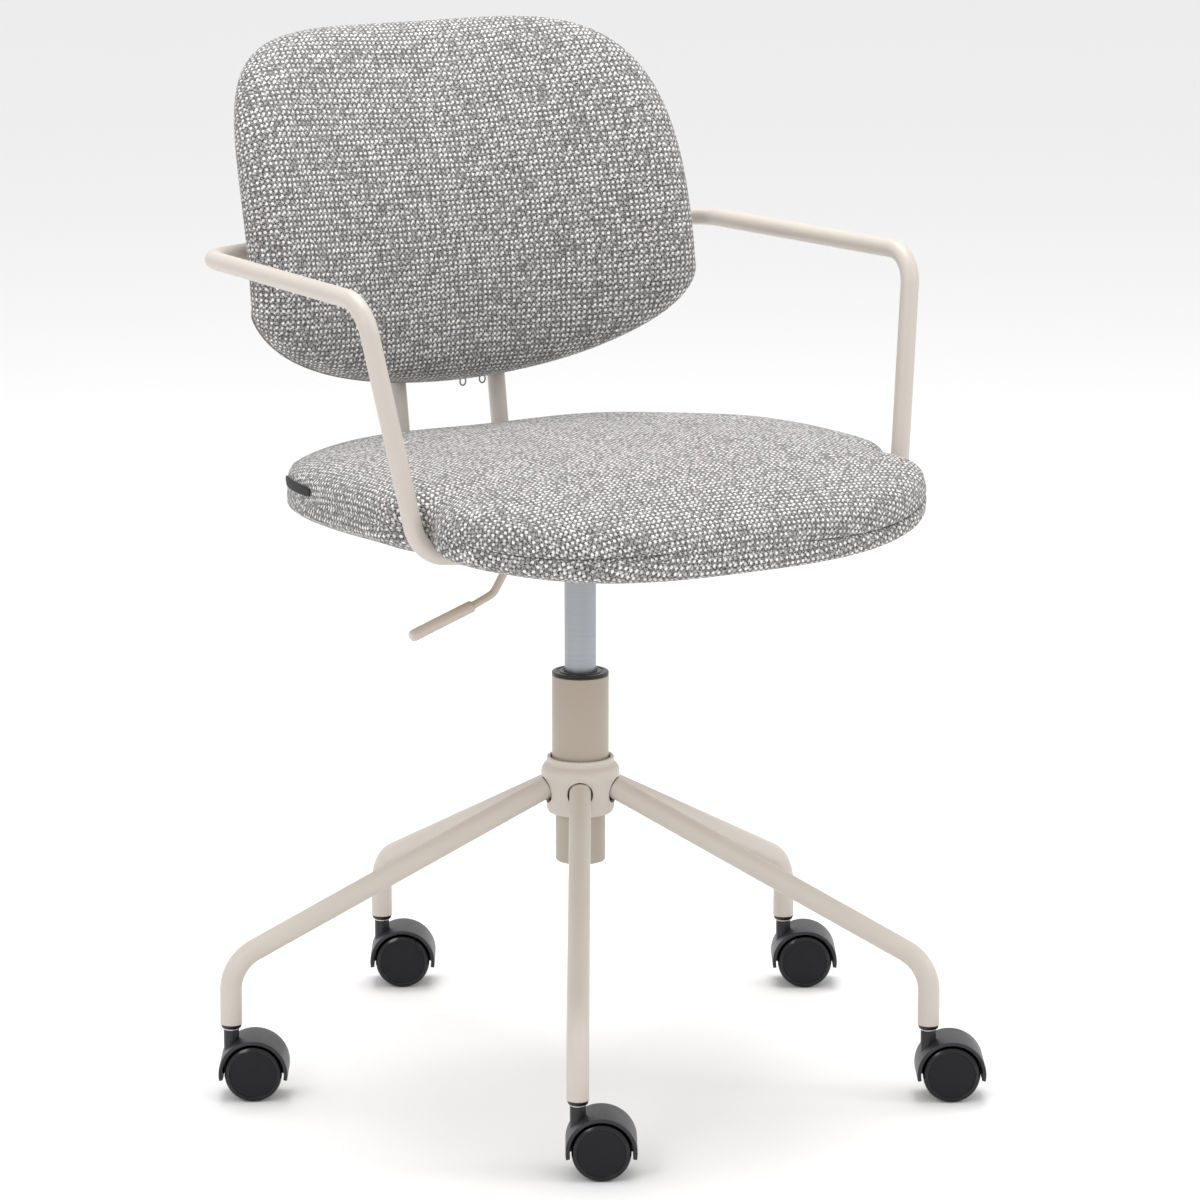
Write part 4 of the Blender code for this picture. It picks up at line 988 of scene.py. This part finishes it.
def hood_shape():
    """Mudguard over both wheels, its middle web and the neck, as closed shells in one mesh."""
    bm = bmesh.new()
    low, high = math.radians(-10.0), math.radians(190.0)
    section = softened([(0.0266, -0.0235), (0.0300, -0.0235), (0.0300, 0.0235), (0.0266, 0.0235)],
                       0.0018, True, 5)
    rings = []
    for a in np.linspace(low, high, 73):
        rings.append([bm.verts.new((r * math.cos(a), y, r * math.sin(a))) for r, y in section])
    for p, q in zip(rings, rings[1:]):
        for j in range(len(section)):
            i = (j + 1) % len(section)
            bm.faces.new((p[j], p[i], q[i], q[j]))
    bm.faces.new(rings[0])
    bm.faces.new(rings[-1])
    # the web: an arch under the mudguard, with a rounded boss round the axle below it
    web = [(0.0286 * math.cos(a), 0.0286 * math.sin(a))
           for a in np.linspace(math.radians(-8.0), math.radians(188.0), 60)]
    web.append((-0.0100, -0.0045))
    web += [(0.0080 * math.cos(a), -0.0045 + 0.0060 * math.sin(a))
            for a in [math.pi + math.pi * k / 12.0 for k in range(1, 12)]]
    web.append((0.0100, -0.0045))
    joined_ends(bm, [[bm.verts.new((a, y, b)) for a, b in web] for y in (-0.0036, 0.0036)])
    neck = softened([(0.0, 0.0200), (0.0067, 0.0200), (0.0067, 0.0348), (0.0049, 0.0348), (0.0049, 0.0275),
                     (0.0, 0.0275)], 0.0007)
    shell = turned(neck, 40, False)
    for v in shell.verts:
        if v.co.z < 0.0240:
            v.co.z = math.sqrt(0.0284 ** 2 - (v.co.x - TRAIL) ** 2)
    shell.transform(Matrix.Translation((-TRAIL, 0, 0)))
    add_to(bm, shell)
    return bm


def wheel_line():
    """Tyre-less wheel: dull tread, bright turned bevel, flat face with a shallow ring groove."""
    a, b = 0.0045, 0.0230
    return softened([
        (0.0, b - 0.0040), (0.0033, b - 0.0040), (0.0033, a), (0.0236, a), (WHEEL_RADIUS, a + 0.0016),
        (WHEEL_RADIUS, b - 0.0036), (0.0241, b - 0.0014), (0.0213, b), (0.0206, b - 0.0001),
        (0.0203, b - 0.0007), (0.0199, b - 0.0005), (0.0, b - 0.0004)], 0.0005)


def wheel_slots(r, z):
    return 1 if (r < 0.0203 and z > 0.021) else 0


def build_casters():
    hood = hood_shape()
    plug = softened([(0.0, 0.0920), (0.0066, 0.0920), (0.0074, 0.0900), (0.0076, 0.0648), (0.0090, 0.0648),
                     (0.0090, 0.0640), (0.0083, 0.0618), (0.0077, 0.0614), (0.0048, 0.0614),
                     (0.0048, 0.0886), (0.0, 0.0886)], 0.0004)
    pin = softened([(0.0, 0.0523), (0.0045, 0.0523), (0.0045, 0.0601), (0.0067, 0.0601), (0.0067, 0.0611),
                    (0.0045, 0.0611), (0.0045, 0.0870), (0.0, 0.0882)], 0.0002)
    for angle, tag in zip(LEG_ANGLES, LEG_TAGS):
        stem, place = caster_matrix(angle)
        copy = hood.copy()
        copy.transform(place)
        obj = as_object("caster_cover_" + tag, copy, [HOOD_NYLON])
        stand_for(obj, "caster_" + tag, "black_plastic", "caster_hood_" + tag)
        for side, sign in (("a", -1.0), ("b", 1.0)):
            turn = place @ Matrix.Rotation(math.radians(-90.0 * sign), 4, "X")
            bm = turned(wheel_line(), 72, False, turn, wheel_slots)
            name = "wheel_" + tag + "_" + side
            obj = as_object("roller_" + tag + "_" + side, bm, [WHEEL_SHINE, WHEEL_FACE])
            stand_for(obj, name, "caster_plastic", name)
        at = Matrix.Translation(stem)
        obj = as_object("socket_plug_" + tag, turned(plug, 48, False, at), [BLACK_NYLON])
        stand_for(obj, "base", "black_plastic", "caster_socket_" + tag)
        obj = as_object("stem_ring_" + tag, turned(pin, 48, False, at), [ZINC])
        stand_for(obj, "caster_" + tag, "steel", "caster_stem_" + tag)
    hood.free()


build_casters()


# ---------------- lever
LEVER_PIVOT = spot(-0.0300, 0, 0.4715)


def build_lever():
    line = [spot(-0.0350, 0, LEVER_PIVOT.z), spot(-0.0660, 0, LEVER_PIVOT.z),
            spot(-0.0880, 0, 0.4365), spot(-0.1090, 0, 0.4279)]
    bm = bmesh.new()
    tube(bm, bent_path(line, (0, 0.014, 0.014, 0), 18), 0.0035, 28)
    eye = bmesh.new()
    bmesh.ops.create_cone(eye, cap_ends=True, segments=40, radius1=0.0062, radius2=0.0062, depth=0.0110)
    eye.transform(Matrix.Translation(LEVER_PIVOT) @ Matrix.Rotation(math.radians(90.0), 4, "X"))
    add_to(bm, eye)
    tongue = bmesh.new()
    bmesh.ops.create_cube(tongue, size=1.0)
    tongue.transform(Matrix.Translation(spot(-0.0135, 0, 0.4771))
                     @ Matrix.Diagonal((0.0330, 0.0080, 0.0032, 1.0)))
    add_to(bm, tongue)
    stand_for(as_object("lever_bar", bm, [FRAME_COAT]), "lever", "frame_paint", "lever_rod")
    start, end = spot(-0.1086, 0, 0.42805), spot(-0.1710, 0, 0.4072)
    length = (end - start).length
    sleeve = softened([(0.0, 0.0), (0.0040, 0.0), (0.0052, 0.0014), (0.0053, 0.0040),
                       (0.0053, length - 0.0040), (0.0042, length - 0.0008), (0.0, length)],
                      0.0012, False, 5)
    aim = Matrix.Translation(start) @ (end - start).to_track_quat("Z", "Y").to_matrix().to_4x4()
    obj = as_object("lever_sleeve", turned(sleeve, 40, False, aim), [FRAME_COAT])
    stand_for(obj, "lever", "frame_paint", "lever_grip")


build_lever()

# ---------------- pieces that stay as built
PLAIN = {
    "hub_core": ZINC, "piston_rod": ZINC, "retaining_clip": ZINC, "release_pin": BLACK_NYLON,
    "seat_plate": ZINC, "mechanism_housing": FRAME_COAT, "lever_pin": ZINC, "back_bracket": FRAME_COAT,
    "seat_board": BIRCH,
}
for tag in LEG_TAGS:
    PLAIN["caster_axle_" + tag] = ZINC
for name, mat in PLAIN.items():
    NODES[name].data.materials.clear()
    NODES[name].data.materials.append(mat)


# ---------------- floor, light and camera
WORLD_LIGHT = 0.92
SOFTBOXES = (
    ("top_softbox", (0.3, 0.5, 3.2), 1.8, 62.0, (0.0, 0.0, 0.4)),
    ("left_softbox", (-3.0, -1.6, 2.4), 1.2, 24.0, (0.0, 0.0, 0.5)),
    ("right_softbox", (2.6, -2.4, 2.0), 1.0, 20.0, (0.0, 0.0, 0.5)),
)


def build_studio():
    mat = new_material("pale_studio_floor", "#F4F4F4", 0.85)[0]
    mesh = bpy.data.meshes.new("studio_floor")
    half = 30.0
    mesh.from_pydata([(-half, -half, 0), (half, -half, 0), (half, half, 0), (-half, half, 0)], [],
                     [(0, 1, 2, 3)])
    mesh.materials.append(mat)
    new_object("studio_floor", mesh)
    world = bpy.data.worlds.new("studio_white")
    world.use_nodes = True
    backdrop = world.node_tree.nodes["Background"]
    backdrop.inputs["Color"].default_value = linear("#FFFFFF")
    backdrop.inputs["Strength"].default_value = WORLD_LIGHT
    bpy.context.scene.world = world
    for name, at, size, power, aim in SOFTBOXES:
        lamp = bpy.data.lights.new(name, "AREA")
        lamp.shape = "SQUARE"
        lamp.size = size
        lamp.energy = power
        obj = new_object(name, lamp)
        obj.location = at
        obj.rotation_euler = (Vector(aim) - Vector(at)).to_track_quat("-Z", "Y").to_euler()


def build_camera():
    """Long lens 4.65 m from the column, 31 degrees to the left of the seat's front."""
    turn, pitch, yaw = -0.5425, 0.2118, 0.0037
    right = Vector((math.cos(turn), math.sin(turn), 0.0))
    toward = Vector((math.sin(turn), -math.cos(turn), 0.0))
    place = AXIS + toward * 4.653 + Vector((0.0, 0.0, 1.4215))

    def world(v):
        return right * v[0] - toward * v[1] + Vector((0.0, 0.0, v[2]))
    ahead = world((math.cos(pitch) * math.sin(yaw), math.cos(pitch) * math.cos(yaw), -math.sin(pitch)))
    side = world((math.cos(yaw), -math.sin(yaw), 0.0))
    up = side.cross(ahead)
    basis = Matrix((side, up, -ahead)).transposed().to_4x4()
    cam = bpy.data.cameras.new("studio_camera")
    cam.sensor_width = 36.0
    cam.lens = 163.284
    cam.clip_start = 0.1
    cam.clip_end = 200.0
    obj = new_object("studio_camera", cam)
    obj.matrix_world = Matrix.Translation(place) @ basis
    bpy.context.scene.camera = obj


build_studio()
build_camera()
bpy.context.scene.view_settings.view_transform = "Standard"
